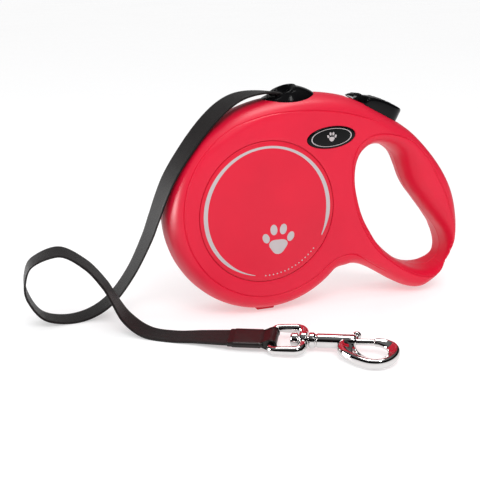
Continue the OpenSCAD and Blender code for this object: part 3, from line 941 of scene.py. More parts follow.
def opening_cutter():
    """What is cut out of the shells: the button's, the lock's and the tape's openings."""
    slot = [(-20.1, 3.4), (-20.1, -3.4), (-9, -3.4), (-9, 3.4)]
    lead = [(REEL[0] + 9, 10), (REEL[0] + 9, -10), (REEL[0] + 33, -10), (REEL[0] + 33, 10)]
    points, faces = join([extruded(thumb_outline(0.45), -10, 12, on_seat),
                          extruded(lead, 128, 150, lambda x, y, h: np.array([x, y, h]))])
    made = piece("opening_cutter", points, faces, None)
    other = piece("slot_cutter", *extruded(slot, -12, 9, on_seat), None)
    return made, other


def foot_block(side):
    """Half of the flat foot under the drum, with rounded edges."""
    x, half, top = REEL[0] + DRUM_C[0], 6.0, 5.0
    loop = [(x - half, 0.0), (x + half, 0.0), (x + half + 1.2, top), (x - half - 1.2, top)]
    return extruded(loop, 0.02, 8, lambda a, b, h: np.array([a, side * h, b]))


SCREWS = [(6, 6.6), (50, 132.5), (70, 37), (105, 13.6), (116, 86)]
WELL_R = 3.25
WELL_FLOOR = 10.5
WELL_REACH = (9, 22)
CUP_R = WELL_R - 0.15
LIP_R = WELL_R + 0.5


def well_cutters():
    """Round wells for the screws in the rear face."""
    turns = np.linspace(0, 2 * math.pi, 32, endpoint=False)
    made = []
    for i, (x, z) in enumerate(SCREWS):
        ring = [(REEL[0] + x + WELL_R * math.cos(a), z + WELL_R * math.sin(a)) for a in turns]
        solid = extruded(ring, *WELL_REACH, lambda a, b, h: np.array([a, h, b]))
        made.append(piece(f"well_cutter_{i}", *solid, None))
    return made


def well_cups():
    """Thin cups that line the wells, with lips that follow the shell's face."""
    outline, hole = housing_lines()
    turns = np.linspace(0, 2 * math.pi, 40, endpoint=False)
    cups = []
    for x, z in SCREWS:
        bottom = np.column_stack([REEL[0] + x + CUP_R * np.cos(turns), np.full(len(turns), WELL_FLOOR),
                                  z + CUP_R * np.sin(turns)])
        rings = [bottom]
        for r, sink in ((CUP_R, 0.05), (LIP_R, 0.5), (LIP_R, WALL)):
            ring = np.column_stack([REEL[0] + x + r * np.cos(turns), z + r * np.sin(turns)])
            face = shell_height(ring, outline, hole, []) - sink
            rings.append(np.column_stack([ring[:, 0], np.maximum(face, WELL_FLOOR - 0.5), ring[:, 1]]))
        under = rings[-1].copy()
        under[:, 1] = WELL_FLOOR - 0.8
        rings.append(under)
        cups.append(loft(rings))
    return join(cups)


def build_shells(context):
    cutters = opening_cutter()
    wells = well_cutters()
    for side, word in ((-1, "front"), (1, "rear")):
        points, faces = half_shell(side)
        made = piece(f"housing_{word}", points, faces, red_shell(context), sharp=28)
        for cutter in (*cutters, *(wells if side > 0 else [])):
            cut(made, cutter)
        tidy(made.data)
        made.data.shade_smooth()
        made.data.set_sharp_from_angle(angle=math.radians(28))
        settle(made, "housing", "red_plastic", f"{word}_shell")
        foot = piece(f"foot_{word}", *foot_block(side), red_shell(context))
        bevel(foot, 0.5)
        settle(foot, "housing", "red_plastic")
    for cutter in (*cutters, *wells):
        bpy.data.objects.remove(cutter)
    settle(piece("well_cups", *well_cups(), red_shell(context)), "housing", "red_plastic")


# ---------------------------------------------------------------- faces and prints

DISC_RISE = 0.75


def disc_surface(r):
    """Height of the cover disc's face at a radius."""
    share = np.clip(r / DISC_R, 0, 1)
    return HALF_DEPTH + 0.05 + DISC_RISE * (1 - share ** 2)


def disc_profile():
    edge = DISC_R
    face = [(disc_surface(r) - HALF_DEPTH, r) for r in np.linspace(0, edge - 0.9, 22)]
    corner = [(-0.06, edge - 0.45), (-0.22, edge - 0.15), (-0.5, edge)]
    back = [(-RECESS + 0.02, edge), (-RECESS + 0.02, edge - 3), (-RECESS + 0.02, 0)]
    return face + corner + back


def build_discs(context):
    for side, word in ((-1, "front"), (1, "rear")):
        origin = np.array([REEL[0], side * HALF_DEPTH, REEL[2]])
        points, faces = lathe(disc_profile(), origin, (0, side, 0), (1, 0, 0), 200)
        made = piece(f"disc_{word}", points, faces, red_disc(context), sharp=30)
        settle(made, "housing", "red_plastic", f"{word}_disc")


def ring_stripe(side):
    """The printed ring: widest at the left and the right, running thin at both ends."""
    first, last, r0 = -26.0, 258.0, 42.0
    rings = []
    for a in np.linspace(first, last, 220):
        t = math.radians(a)
        swell = 0.75 + 0.62 * math.cos(t) ** 2
        end = min(1, (a - first) / 26 + 0.25, (last - a) / 40 + 0.25)
        half = swell * end
        radial = np.array([math.cos(t), 0, math.sin(t)])
        row = []
        for r, lift in ((r0 - half, -0.15), (r0 + half, -0.15), (r0 + half, 0.04), (r0 - half, 0.04)):
            place = np.array([REEL[0], 0, REEL[2]]) + radial * r
            place[1] = side * (disc_surface(r) + lift)
            row.append(place)
        rings.append(row)
    return loft(rings)


def pad(centre, half, turn, side, surface, lobes=0.0):
    """A flat printed spot: an oval, or with lobes a rounded three-cornered pad."""
    count = 48
    top = []
    c, s = math.cos(math.radians(turn)), math.sin(math.radians(turn))
    for a in np.linspace(0, 2 * math.pi, count, endpoint=False):
        grow = 1 + lobes * math.cos(3 * (a - math.pi / 2))
        x, z = half[0] * grow * math.cos(a), half[1] * grow * math.sin(a)
        top.append((centre[0] + x * c - z * s, centre[1] + x * s + z * c))
    def level(lift):
        return [np.array([x, side * (surface(x, z) + lift), z]) for x, z in top]
    return loft([level(-0.12), level(0.05)])


PAW_TOES = [(-0.78, 0.18, 0.21, 0.3, 24), (-0.3, 0.66, 0.22, 0.32, 8), (0.3, 0.66, 0.22, 0.32, -8),
            (0.78, 0.18, 0.21, 0.3, -24)]


def paw(x, z, size, side, surface):
    """A plain paw print: one pad and four toes."""
    spots = [pad((x, z - 0.34 * size), (0.56 * size, 0.44 * size), 0, side, surface, -0.12)]
    for dx, dz, a, b, turn in PAW_TOES:
        spots.append(pad((x + dx * size, z + dz * size), (a * size, b * size), turn, side, surface))
    return join(spots)


def on_disc(x, z):
    return disc_surface(math.hypot(x - REEL[0], z - REEL[2]))


def build_prints(context):
    for side, word in ((-1, "front"), (1, "rear")):
        made = piece(f"ring_print_{word}", *ring_stripe(side), print_grey(context))
        settle(made, "housing", "red_plastic")
        made = piece(f"paw_print_{word}", *paw(REEL[0] + 7, REEL[2] - 19, 11, side, on_disc),
                     print_grey(context))
        settle(made, "housing", "red_plastic")
        dot = piece("dot", *lathe([(-0.12, 0), (-0.12, 0.5), (0.05, 0.45), (0.05, 0)], (0, 0, 0),
                                  (0, side, 0), (1, 0, 0), 12), print_grey(context))
        places = []
        for a in np.linspace(-92, -40, 15):
            x, z = REEL[0] + 42 * math.cos(math.radians(a)), REEL[2] + 42 * math.sin(math.radians(a))
            places.append((x, side * on_disc(x, z), z))
        made = copies(f"dots_print_{word}", dot, places, print_grey(context))
        settle(made, "housing", "red_plastic")


def badge_surface(share):
    return HALF_DEPTH + 0.62 - 0.3 * np.clip(share, 0, 1) ** 2


def on_badge(x, z):
    return badge_surface(badge_share(np.array([[x, z]]))[0])


def oval_ring(share, height, side, count=120):
    """One ring of the badge's oval at a share of its size."""
    a = math.radians(BADGE_TILT)
    turns = np.linspace(0, 2 * math.pi, count, endpoint=False)
    x, z = BADGE_HALF[0] * share * np.cos(turns), BADGE_HALF[1] * share * np.sin(turns)
    return np.column_stack([BADGE_AT[0] + x * math.cos(a) - z * math.sin(a),
                            np.full(count, side * height),
                            BADGE_AT[2] + x * math.sin(a) + z * math.cos(a)])


def build_badges(context):
    for side, word in ((-1, "front"), (1, "rear")):
        rows = [(s, badge_surface(s)) for s in np.linspace(0.02, 0.93, 12)]
        rows += [(0.965, badge_surface(1) - 0.05), (0.988, badge_surface(1) - 0.2),
                 (1.0, badge_surface(1) - 0.5), (1.0, HALF_DEPTH - 0.78), (0.02, HALF_DEPTH - 0.78)]
        made = piece(f"badge_{word}", *loft([oval_ring(s, h, side) for s, h in rows]),
                     gloss_black(context), sharp=40)
        settle(made, "housing", "black_plastic", f"{word}_badge")
        lines = [[(0.80, -0.08), (0.84, -0.08), (0.84, 0.035), (0.80, 0.035)]]
        rings = [oval_ring(s, badge_surface(s) + lift, side) for s, lift in lines[0]]
        ring = loft(np.transpose(rings, (1, 0, 2)), looped=True)
        mark = paw(BADGE_AT[0], BADGE_AT[2] + 0.2, 3.3, side, on_badge)
        made = piece(f"badge_print_{word}", *join([ring, mark]), print_grey(context))
        settle(made, "housing", "black_plastic")


# ---------------------------------------------------------------- outlet, button, lock

MOUTH_AT = (-26.6, 0.0, 143.4)
MOUTH_HALF = (8.3, 9.8)
MOUTH_TILT = 21.5
BASE_X = (-40.5, -5.5)
BASE_HALF_Y = 14.2


def top_line(x):
    """Height of the housing's ridge at X."""
    outline, _ = housing_lines()
    top = outline[(outline[:, 1] > 115) & (outline[:, 0] < 40)]
    top = top[np.argsort(top[:, 0])]
    return np.interp(x, top[:, 0], top[:, 1])


def ridge_drop(y):
    """How far the housing has rounded away at a distance from its middle plane."""
    share = np.clip(np.abs(y) / HALF_DEPTH, 0, 1)
    return RIM * (1 - (1 - share ** ROUND) ** (1 / ROUND))


def build_outlet(context):
    """A glossy dome that rises from the ridge to an oval, slanting mouth with a bowl inside."""
    count = 96
    turns = np.linspace(0, 2 * math.pi, count, endpoint=False)
    middle, half = sum(BASE_X) / 2, (BASE_X[1] - BASE_X[0]) / 2
    base = np.column_stack([middle + half * np.cos(turns), BASE_HALF_Y * np.sin(turns)])
    base_z = top_line(base[:, 0]) - ridge_drop(base[:, 1])
    tilt = math.radians(MOUTH_TILT)
    slope, up = np.array([math.cos(tilt), 0, math.sin(tilt)]), np.array([-math.sin(tilt), 0, math.cos(tilt)])

    def mouth(grow, lift):
        a, b = MOUTH_HALF[0] + grow, MOUTH_HALF[1] + grow
        return (np.array(MOUTH_AT) + lift * up + np.outer(a * np.cos(turns), slope)
                + np.outer(b * np.sin(turns), (0, 1, 0)))

    ground = np.column_stack([base[:, 0], base[:, 1], base_z])
    rings = [ground - [0, 0, 1.4], ground + [0, 0, 0.1]]
    rim = mouth(0.9, -0.5)
    for s in np.linspace(0.08, 1, 12):
        out, rise = s ** 1.35, 1 - (1 - s) ** 1.25
        rings.append(np.column_stack([ground[:, 0] * (1 - out) + rim[:, 0] * out,
                                      ground[:, 1] * (1 - out) + rim[:, 1] * out,
                                      ground[:, 2] * (1 - rise) + rim[:, 2] * rise]))
    for grow, lift in ((0.75, -0.12), (0.45, 0.05), (0.1, 0.02), (-0.25, -0.25), (-0.6, -0.9),
                       (-1.3, -2.0), (-2.4, -3.1), (-4.2, -3.8), (-6.2, -4.0)):
        rings.append(mouth(grow, lift))
    beads = []
    for grow, lift, thick in ((0.42, 0.05, 0.42), (-2.0, -2.7, 0.28)):
        middle_line, outward = mouth(grow, lift), mouth(grow + 1, lift) - mouth(grow, lift)
        outward /= np.linalg.norm(outward, axis=1)[:, None]
        bead = [[p + thick * (math.cos(a) * n + math.sin(a) * up) for a in np.linspace(0, 5.7, 11)]
                for p, n in zip(middle_line, outward)]
        beads.append(loft(bead, looped=True))
    made = piece("outlet_dome", *join([loft(rings), *beads]), gloss_black(context), sharp=50)
    settle(made, "housing", "black_plastic", "tape_outlet")


BUTTON_TOP = [(-8.2, 2.6), (-7.6, 4.4), (-6, 5.6), (-3, 6.9), (3, 8.2), (8, 8.7), (12, 8.9),
              (17, 8.8), (21, 8.5), (22.4, 8.2)]


def button_top(x, y):
    """Height of the thumb button: a saddle for the thumb, lower in front."""
    line = np.array(BUTTON_TOP)
    ridge = np.interp(x, line[:, 0], line[:, 1])
    dish = 0.55 * math.exp(-((x - 7) / 8) ** 2) * (1 - min(1, (y / 8) ** 2))
    return ridge - dish - 0.012 * y * y


def scaled(loop, by):
    """A closed plan drawn in by a distance."""
    line = np.array(loop, float)
    return offset(line, by)


def build_button(context):
    """Thumb button: rounded plan, dished top and curved grip ribs."""
    plan = evenly(np.array(thumb_outline(0.0, 28)), 0.9, True)
    rings = []
    for by, fall, low in ((0.15, 0, -2.2), (0.0, 0, -1.9), (0.0, 1.5, None), (0.08, 1.0, None),
                          (0.3, 0.55, None), (0.7, 0.2, None), (1.3, 0.04, None), (2.2, 0, None),
                          (3.6, 0, None), (5.2, 0, None), (6.8, 0, None), (8.2, 0, None)):
        loop = scaled(plan, by) if by < 3 else shrink(plan, by)
        rings.append([on_seat(x, y, button_top(x, y) - fall if low is None else low) for x, y in loop])
    made = piece("thumb_button", *loft(rings), gloss_black(context), sharp=50)
    settle(made, "button", "black_plastic", "brake_button")
    rib = []
    for t in np.linspace(-1, 1, 25):
        y = 7.0 * t
        x = 1.6 * t * t
        r = 0.42 * math.sqrt(max(0.02, 1 - t ** 6))
        rib.append([x * SLOPE + np.array([0, y, 0]) + r * (math.cos(a) * SLOPE + math.sin(a) * OUT_OF_SEAT)
                    - 0.012 * y * y * OUT_OF_SEAT
                    for a in np.linspace(0, 2 * math.pi, 10, endpoint=False)])
    template = piece("rib", *loft(rib), gloss_black(context))
    spots = [on_seat(x, 0, button_top(x, 5) + 0.12) for x in (-2.6, 0.6, 3.8, 7.0, 10.2)]
    ribs = copies("thumb_ribs", template, spots, gloss_black(context))
    settle(ribs, "button", "black_plastic")


def shrink(plan, by):
    """A plan drawn towards its own spine, for the innermost rings of a lid."""
    line = np.array(plan, float)
    spine = np.column_stack([np.clip(line[:, 0], 0, 12.5), np.zeros(len(line))])
    share = by / 9.5
    return line * (1 - share) + spine * share


LOCK_TOP = [(-16.6, 1.0), (-16.2, 1.9), (-14.6, 3.0), (-12, 4.0), (-9.9, 4.7), (-9.0, 4.5), (-8.7, 3.6)]


def build_lock(context):
    """Lock: a low ramp in front of the button with a grip ridge."""
    line = open_through(LOCK_TOP, 4)
    rings = []
    for x, top in line:
        half = 8.0 * (1 - 0.25 * max(0.0, (-12.5 - x) / 4.1) ** 2)
        row = []
        for t in np.linspace(-1, 1, 21):
            y = half * t
            row.append(on_seat(x, y, 0.35 + (top - 0.35) * (1 - abs(t) ** 5) - 0.006 * y * y * (top > 1)))
        row += [on_seat(x, half * t, 0.3) for t in np.linspace(0.96, -0.96, 12)]
        rings.append(row)
    made = piece("lock_ramp", *loft(rings), gloss_black(context), sharp=40)
    settle(made, "lock", "black_plastic", "lock_slider")
    bar = []
    for t in np.linspace(-1, 1, 17):
        r = 0.36 * math.sqrt(max(0.02, 1 - t ** 6))
        y = 5.4 * t
        bar.append([np.array([0, y, 0]) + r * (math.cos(a) * SLOPE + math.sin(a) * OUT_OF_SEAT)
                    - 0.02 * y * y * OUT_OF_SEAT for a in np.linspace(0, 2 * math.pi, 8, endpoint=False)])
    template = piece("bar", *loft(bar), gloss_black(context))
    spots = [on_seat(x, 0, np.interp(x, line[:, 0], line[:, 1]) + 0.1) for x in (-14.2, -12.6, -11.0)]
    ribs = copies("lock_ribs", template, spots, gloss_black(context))
    settle(ribs, "lock", "black_plastic")


# ---------------------------------------------------------------- screws

def build_screws(context):
    """Pan-head screws with a cross recess, sunk in the rear face."""
    head = lathe(rounded([(0, 0, 0), (0, 2.9, 0.0), (0.9, 2.9, 0.6), (1.7, 1.8, 0.8), (1.75, 0, 0)]),
                 (0, 0, 0), (0, 1, 0), (1, 0, 0), 28)
    template = piece("screw_head", *head, screw_zinc(context))
    for long, wide in ((1.7, 0.42), (0.42, 1.7)):
        block = [(-long, -wide), (long, -wide), (long, wide), (-long, wide)]
        tool = piece("cross", *extruded(block, 0.9, 3, lambda x, y, h: np.array([x, h, y])), None)
        cut(template, tool)
        bpy.data.objects.remove(tool)
    spots = [(REEL[0] + x, WELL_FLOOR - 0.05, z) for x, z in SCREWS]
    made = copies("screw_heads", template, spots, screw_zinc(context))
    settle(made, "housing", "steel", "housing_screws")


# ---------------------------------------------------------------- tape, sleeve and loop

def tape_line():
    """Rows of the tape's route: place, then unit vectors along, across and up."""
    path = open_through(TAPE_ROUTE, 9)
    spots = path[:, :3]
    ahead = np.gradient(spots, axis=0)
    ahead /= np.linalg.norm(ahead, axis=1)[:, None]
    turn, roll = np.radians(path[:, 3]), np.radians(path[:, 4])
    hint = np.column_stack([np.sin(turn), np.cos(turn), np.zeros(len(path))])
    level = hint - ahead * (hint * ahead).sum(1)[:, None]
    level /= np.linalg.norm(level, axis=1)[:, None]
    up = np.cross(ahead, level)
    across = level * np.cos(roll)[:, None] + up * np.sin(roll)[:, None]
    return spots, ahead, across, np.cross(ahead, across)


TAPE_HALF = 8.5
TAPE_THICK = 0.68


def tape_section():
    """The tape's section: (across, up), flat with rounded selvages."""
    flat = np.linspace(-0.93, 0.93, 13)
    top = [(TAPE_HALF * x, TAPE_THICK) for x in flat]
    ends = [(TAPE_HALF * 0.975, TAPE_THICK * 0.8), (TAPE_HALF, 0.0), (TAPE_HALF * 0.975, -TAPE_THICK * 0.8)]
    bottom = [(-x, -TAPE_THICK) for x, _ in top]
    other = [(-x, -y) for x, y in ends]
    return top + ends + bottom + other


def build_tape(context):
    """The free tape from the outlet to the sleeve, with its length and width as its own map."""
    spots, ahead, across, up = tape_line()
    section = np.array(tape_section())
    rings = [s + np.outer(section[:, 0], w) + np.outer(section[:, 1], n)
             for s, w, n in zip(spots, across, up)]
    points, faces = loft(rings)
    run = np.concatenate([[0], np.cumsum(np.linalg.norm(np.diff(spots, axis=0), axis=1))])
    uv = [(run[i], w) for i in range(len(spots)) for w, _ in section] + [(0, 0), (run[-1], 0)]
    made = piece("leash_tape", points, faces, tape_finish(context), uv=uv, sharp=60)
    settle(made, "housing", "black_webbing", "free_tape")
    return made, spots, run[-1]


def hook_point(u, v, w):
    return HOOK_AT + u * ALONG + v * ACROSS + w * UPWARD


def build_sleeve(context):
    """Leather sleeve over the tape's end: a flat oval with thinner lips and a side seam."""
    rows = [(-25.0, 1.2), (-24.9, 1.42), (-24.4, 1.55), (-22.3, 1.58), (-21.8, 1.74), (-21.2, 1.8),
            (-14, 1.84), (-6.6, 1.82), (-6.0, 1.92), (-5.3, 1.92), (-4.8, 1.6), (-3.9, 1.55), (-3.6, 1.25)]
    rings = []
    for u, thick in rows:
        half = 9.4 - 0.35 * (thick < 1.65) - 0.25 * (thick < 1.45)
        row = []
        for a in np.linspace(0, 2 * math.pi, 72, endpoint=False):
            c, s = math.cos(a), math.sin(a)
            v = half * math.copysign(abs(c) ** 0.28, c)
            w = thick * math.copysign(abs(s) ** 0.5, s)
            row.append(hook_point(u, v, w + 0.1 * math.exp(-((abs(v) - 7.9) / 0.35) ** 2) * (s > 0)))
        rings.append(row)
    made = piece("leather_sleeve", *loft(rings), sleeve_finish(context), sharp=50)
    settle(made, "housing", "brown_leather", "tape_sleeve")
    return made


def build_end_loop(context):
    """The tape's end folded round the eye's bar."""
    bar, inner, outer = EYE_BAR_U, 2.3, 3.55
    reach = -4.6 - bar
    tip = 1.35
    lean = math.asin((outer - tip) / abs(reach))
    turns = np.linspace(math.pi / 2 + lean, -math.pi / 2 - lean, 40)
    outline = [(bar + outer * math.cos(a), outer * math.sin(a)) for a in turns]
    outline += [(-4.2, -tip - 0.1), (-4.6, -tip), (-4.6, tip), (-4.2, tip + 0.1)]
    outline = evenly(np.array(outline), 0.5, True)
    hub = np.array([bar, 0.0])
    rings = []
    for v, by in ((-7.6, 0.35), (-7.95, 0.2), (-8.15, 0.0), (-7.9, -0.02), (7.9, -0.02), (8.15, 0.0),
                  (7.95, 0.2), (7.6, 0.35)):
        rings.append([hook_point(u, v, w) for u, w in offset(outline, max(by, 0))])
    hole = [hub + inner * (p - hub) / np.linalg.norm(p - hub) for p in outline]
    for v in (7.6, 0, -7.6):
        rings.append([hook_point(u, v, w) for u, w in hole])
    made = piece("end_loop", *loft(rings, looped=True), loop_finish(context), sharp=50)
    settle(made, "housing", "black_webbing", "tape_end_loop")
    return made


# ---------------------------------------------------------------- hook

def build_eye(context):
    """The swivel eye: a rounded frame of round bar with a boss at its far end."""
    left, right, half = EYE_BAR_U, 19.9, 13.1
    corners = [(left, -half, 3.6), (right, -half, 5.2), (right, half, 5.2), (left, half, 3.6)]
    line = []
    for i, (u, v, soft) in enumerate(corners):
        here = np.array([u, v])
        before = np.array(corners[i - 1][:2]) - here
        after = np.array(corners[(i + 1) % 4][:2]) - here
        start = here + before / np.linalg.norm(before) * soft
        end = here + after / np.linalg.norm(after) * soft
        for t in np.linspace(0, 1, 14):
            line.append((1 - t) ** 2 * start + 2 * t * (1 - t) * (here * 0.86 + (start + end) * 0.07)
                        + t * t * end)
    line = evenly(np.array(line), 0.8, True)
    ahead = np.roll(line, -1, axis=0) - np.roll(line, 1, axis=0)
    ahead /= np.linalg.norm(ahead, axis=1)[:, None]
    rings = []
    for (u, v), (du, dv) in zip(line, ahead):
        share = np.clip((u - left) / (right - left), 0, 1)
        r = 2.12 + 0.25 * math.sin(math.pi * share) ** 0.8 + 0.5 * share
        flat = 1.0 + 0.12 * share
        rings.append([hook_point(u - dv * r * math.cos(a), v + du * r * math.cos(a), r * flat * math.sin(a))
                      for a in np.linspace(0, 2 * math.pi, 32, endpoint=False)])
    frame_bar = piece("eye_frame", *loft(rings, looped=True), chrome_plate(context), sharp=60)
    settle(frame_bar, "eye", "chrome", "swivel_eye")
    profile = rounded([(22.4, 2.68, 0), (22.4, 4.7, 0.5), (21.6, 5.4, 0.6), (18.6, 5.4, 0.9),
                       (17.4, 4.6, 0.6), (17.4, 2.68, 0)])
    angles = np.linspace(0, 2 * math.pi, 72, endpoint=False)
    rings = [[hook_point(u, r * math.cos(a), r * math.sin(a)) for a in angles] for u, r in profile]
    boss = piece("eye_boss", *loft(rings, looped=True), chrome_plate(context), sharp=40)
    settle(boss, "eye", "chrome")
    return [frame_bar, boss]


BOW = [(46.8, -1.2, 3.4, 3.2), (45.8, -4.4, 5.0, 3.3), (45.8, -7.8, 5.8, 3.3), (47.4, -11.8, 5.6, 3.3),
       (50.6, -15.8, 5.0, 3.3), (54.8, -19.4, 4.5, 3.4), (59.6, -21.9, 4.3, 3.45), (64.6, -21.9, 4.1, 3.4),
       (69.0, -19.1, 3.9, 3.3), (72.0, -14.6, 3.7, 3.2), (73.0, -9.6, 3.5, 3.1), (71.6, -5.0, 3.2, 2.95),
       (68.4, -1.8, 2.9, 2.75), (65.0, -0.4, 2.65, 2.6), (62.3, -0.1, 2.5, 2.5)]
# Section of the cast bow, from inside to outside and up: a face that slopes in from a crest
BOW_SECTION = [(1, -0.3), (0.92, 0.04), (0.64, 0.3), (0.12, 0.62), (-0.4, 0.94), (-0.78, 0.84),
               (-0.97, 0.4), (-1, -0.1), (-0.88, -0.6), (-0.5, -0.93), (0, -1.0), (0.5, -0.9),
               (0.88, -0.55)]


def build_hook(context):
    """Snap hook: swivel rivet, collar and barrel turned in one, and a cast bow that tapers."""
    profile = rounded([(12.0, 0, 0), (12.0, 3.0, 0.8), (12.9, 4.1, 0.7), (16.4, 4.2, 0.8),
                       (17.1, 3.1, 0.3), (17.1, 2.55, 0), (22.9, 2.55, 0), (22.9, 4.1, 0.3),
                       (23.6, 4.75, 0.5), (26.2, 4.75, 0.6), (27.0, 3.75, 0.4), (27.5, 3.75, 0.3),
                       (28.2, 4.3, 0.5), (49.6, 4.3, 0), (50.6, 3.9, 0.5), (51.0, 3.2, 0.3),
                       (51.0, 2.1, 0), (31.0, 2.1, 0), (31.0, 0, 0)])
    body = piece("hook_barrel", *lathe(profile, HOOK_AT, ALONG, ACROSS, 72), chrome_plate(context), sharp=40)
    slot_shape = [(41.4, 1.0), (52.0, 1.0), (52.0, 8.0), (41.4, 8.0)]
    tool = piece("slot", *extruded(slot_shape, -1.35, 1.35, hook_point), None)
    cut(body, tool)
    bpy.data.objects.remove(tool)
    settle(body, "hook", "chrome", "snap_hook")
    line = open_through(BOW, 8)
    ahead = np.gradient(line[:, :2], axis=0)
    ahead /= np.linalg.norm(ahead, axis=1)[:, None]
    cast = ring_through(BOW_SECTION, 5)
    turned = np.column_stack([np.cos(np.linspace(0, 2 * math.pi, len(cast), endpoint=False)),
                              np.sin(np.linspace(0, 2 * math.pi, len(cast), endpoint=False))])
    rings = []
    for i, ((u, v, wide, high), (du, dv)) in enumerate(zip(line, ahead)):
        share = min(1, (len(line) - 1 - i) / 24)
        section = turned * (1 - share) + cast * share
        rings.append([hook_point(u - dv * wide * p, v + du * wide * p, high * q) for p, q in section])
    bow = piece("hook_bow", *loft(rings), chrome_plate(context), sharp=60)
    settle(bow, "hook", "chrome")
    return [body, bow]


def build_bolt(context):
    """Sliding bolt with a round thumb knob on a stem."""
    rod = lathe(rounded([(42.0, 0, 0), (42.0, 1.95, 0.4), (61.7, 1.95, 0.5), (62.2, 1.3, 0.3), (62.3, 0, 0)]),
                HOOK_AT, ALONG, ACROSS, 40)
    knob = lathe(rounded([(0, 0, 0), (0, 1.05, 0), (5.2, 1.05, 0.5), (5.5, 2.2, 0.4), (6.0, 2.75, 0.5),
                          (7.4, 2.75, 0.6), (7.9, 1.9, 0.4), (7.55, 0, 0)]),
                 hook_point(51.0, 0.4, 0), ACROSS, ALONG, 40)
    made = piece("snap_bolt", *join([rod, knob]), chrome_plate(context), sharp=40)
    settle(made, "bolt", "chrome", "trigger_bolt")
    return made


# ---------------------------------------------------------------- carried-over nodes

def finish_inner_nodes(context):
    """Gives each node that stays as it is its own finish."""
    plain = {
        reel_white: ["brake_pawl", "reel_hub", "reel_flange", "reel_washers"],
        spring_steel: ["button_spring", "pawl_spring", "main_spring", "trigger_spring",
                       "spring_cassette", "axle", "pawl_pin"],
        tape_inside: ["wound_tape", "inner_tape"],
    }
    for make, names in plain.items():
        for name in names:
            mesh = frame["nodes"][name].data
            mesh.materials.clear()
            mesh.materials.append(make(context))


# ---------------------------------------------------------------- stage

CAMERA_AT = (-0.27472, -0.57355, 0.22466)
CAMERA_TURN = -20.95
CAMERA_DOWN = 16.13
CAMERA_LENS = 73.32
WORLD_LOW = 0.55
WORLD_HIGH = 1.15


def build_camera(context):
    data = bpy.data.cameras.new("camera")
    data.lens = CAMERA_LENS
    data.sensor_width = 36.0
    made = bpy.data.objects.new("camera", data)
    made.location = CAMERA_AT
    made.rotation_euler = (math.radians(90 - CAMERA_DOWN), 0, math.radians(CAMERA_TURN))
    context.scene.collection.objects.link(made)
    context.scene.camera = made


def soft_light(context, name, place, aim, size, power, mirrored=False, plain=False):
    """A soft box; a mirrored one shows only in glossy surfaces, a plain one never does."""
    data = bpy.data.lights.new(name, "AREA")
    data.shape = "RECTANGLE"
    data.size, data.size_y = size
    data.energy = power
    made = bpy.data.objects.new(name, data)
    made.location = place
    toward = Vector(aim) - Vector(place)
    made.rotation_euler = toward.to_track_quat("-Z", "Y").to_euler()
    made.visible_camera = False
    made.visible_diffuse = not mirrored
    made.visible_glossy = not plain
    context.scene.collection.objects.link(made)


def studio_world(context):
    """White for the camera, an even glow for diffuse light, and for reflections a dark studio
    that brightens only high up and behind."""
    world = bpy.data.worlds.new("studio")
    world.use_nodes = True
    tree = world.node_tree
    tree.nodes.clear()
    place = tree.nodes.new("ShaderNodeTexCoord")
    split = tree.nodes.new("ShaderNodeSeparateXYZ")
    tree.links.new(place.outputs["Generated"], split.inputs["Vector"])
    path = tree.nodes.new("ShaderNodeLightPath")
    seen = tree.nodes.new("ShaderNodeBackground")
    glow = tree.nodes.new("ShaderNodeBackground")
    tree.links.new(ramp(tree, split.outputs["Z"], -0.1, 0.7, WORLD_LOW, WORLD_HIGH), glow.inputs["Strength"])
    studio = tree.nodes.new("ShaderNodeBackground")
    high = ramp(tree, split.outputs["Z"], 0.55, 1.0, 0.0, 0.3)
    far = ramp(tree, split.outputs["Y"], 0.5, 0.8, 0.0, 0.55)
    low = ramp(tree, split.outputs["Z"], 0.2, 0.5, 1.0, 0.0)
    back = math_node(tree, "MULTIPLY", far, low)
    tree.links.new(math_node(tree, "ADD", math_node(tree, "MAXIMUM", high, back), 0.004),
                   studio.inputs["Strength"])
    first = tree.nodes.new("ShaderNodeMixShader")
    second = tree.nodes.new("ShaderNodeMixShader")
    out = tree.nodes.new("ShaderNodeOutputWorld")
    tree.links.new(path.outputs["Is Glossy Ray"], first.inputs[0])
    tree.links.new(glow.outputs[0], first.inputs[1])
    tree.links.new(studio.outputs[0], first.inputs[2])
    tree.links.new(path.outputs["Is Camera Ray"], second.inputs[0])
    tree.links.new(first.outputs[0], second.inputs[1])
    tree.links.new(seen.outputs[0], second.inputs[2])
    tree.links.new(second.outputs[0], out.inputs["Surface"])
    context.scene.world = world


def build_floor(context):
    made, tree, shader = finish_named("white_floor")
    smear = noise(tree, tree.nodes.new("ShaderNodeTexCoord").outputs["Object"], 3.0, 2.0)
    tree.links.new(ramp(tree, smear, 0.3, 0.7, 0.16, 0.24), shader.inputs["Roughness"])
    set_shader(shader, Base_Color=(0.66, 0.66, 0.665, 1.0), Specular_IOR_Level=0.12,
               Emission_Color=(1.0, 1.0, 1.0, 1.0), Emission_Strength=0.46)
    reach = 12000.0
    points = [(-reach, -reach, 0), (reach, -reach, 0), (reach, reach, 0), (-reach, reach, 0)]
    floor = piece("studio_floor", points, [(0, 1, 2, 3)], made)


# ---------------------------------------------------------------- add-on

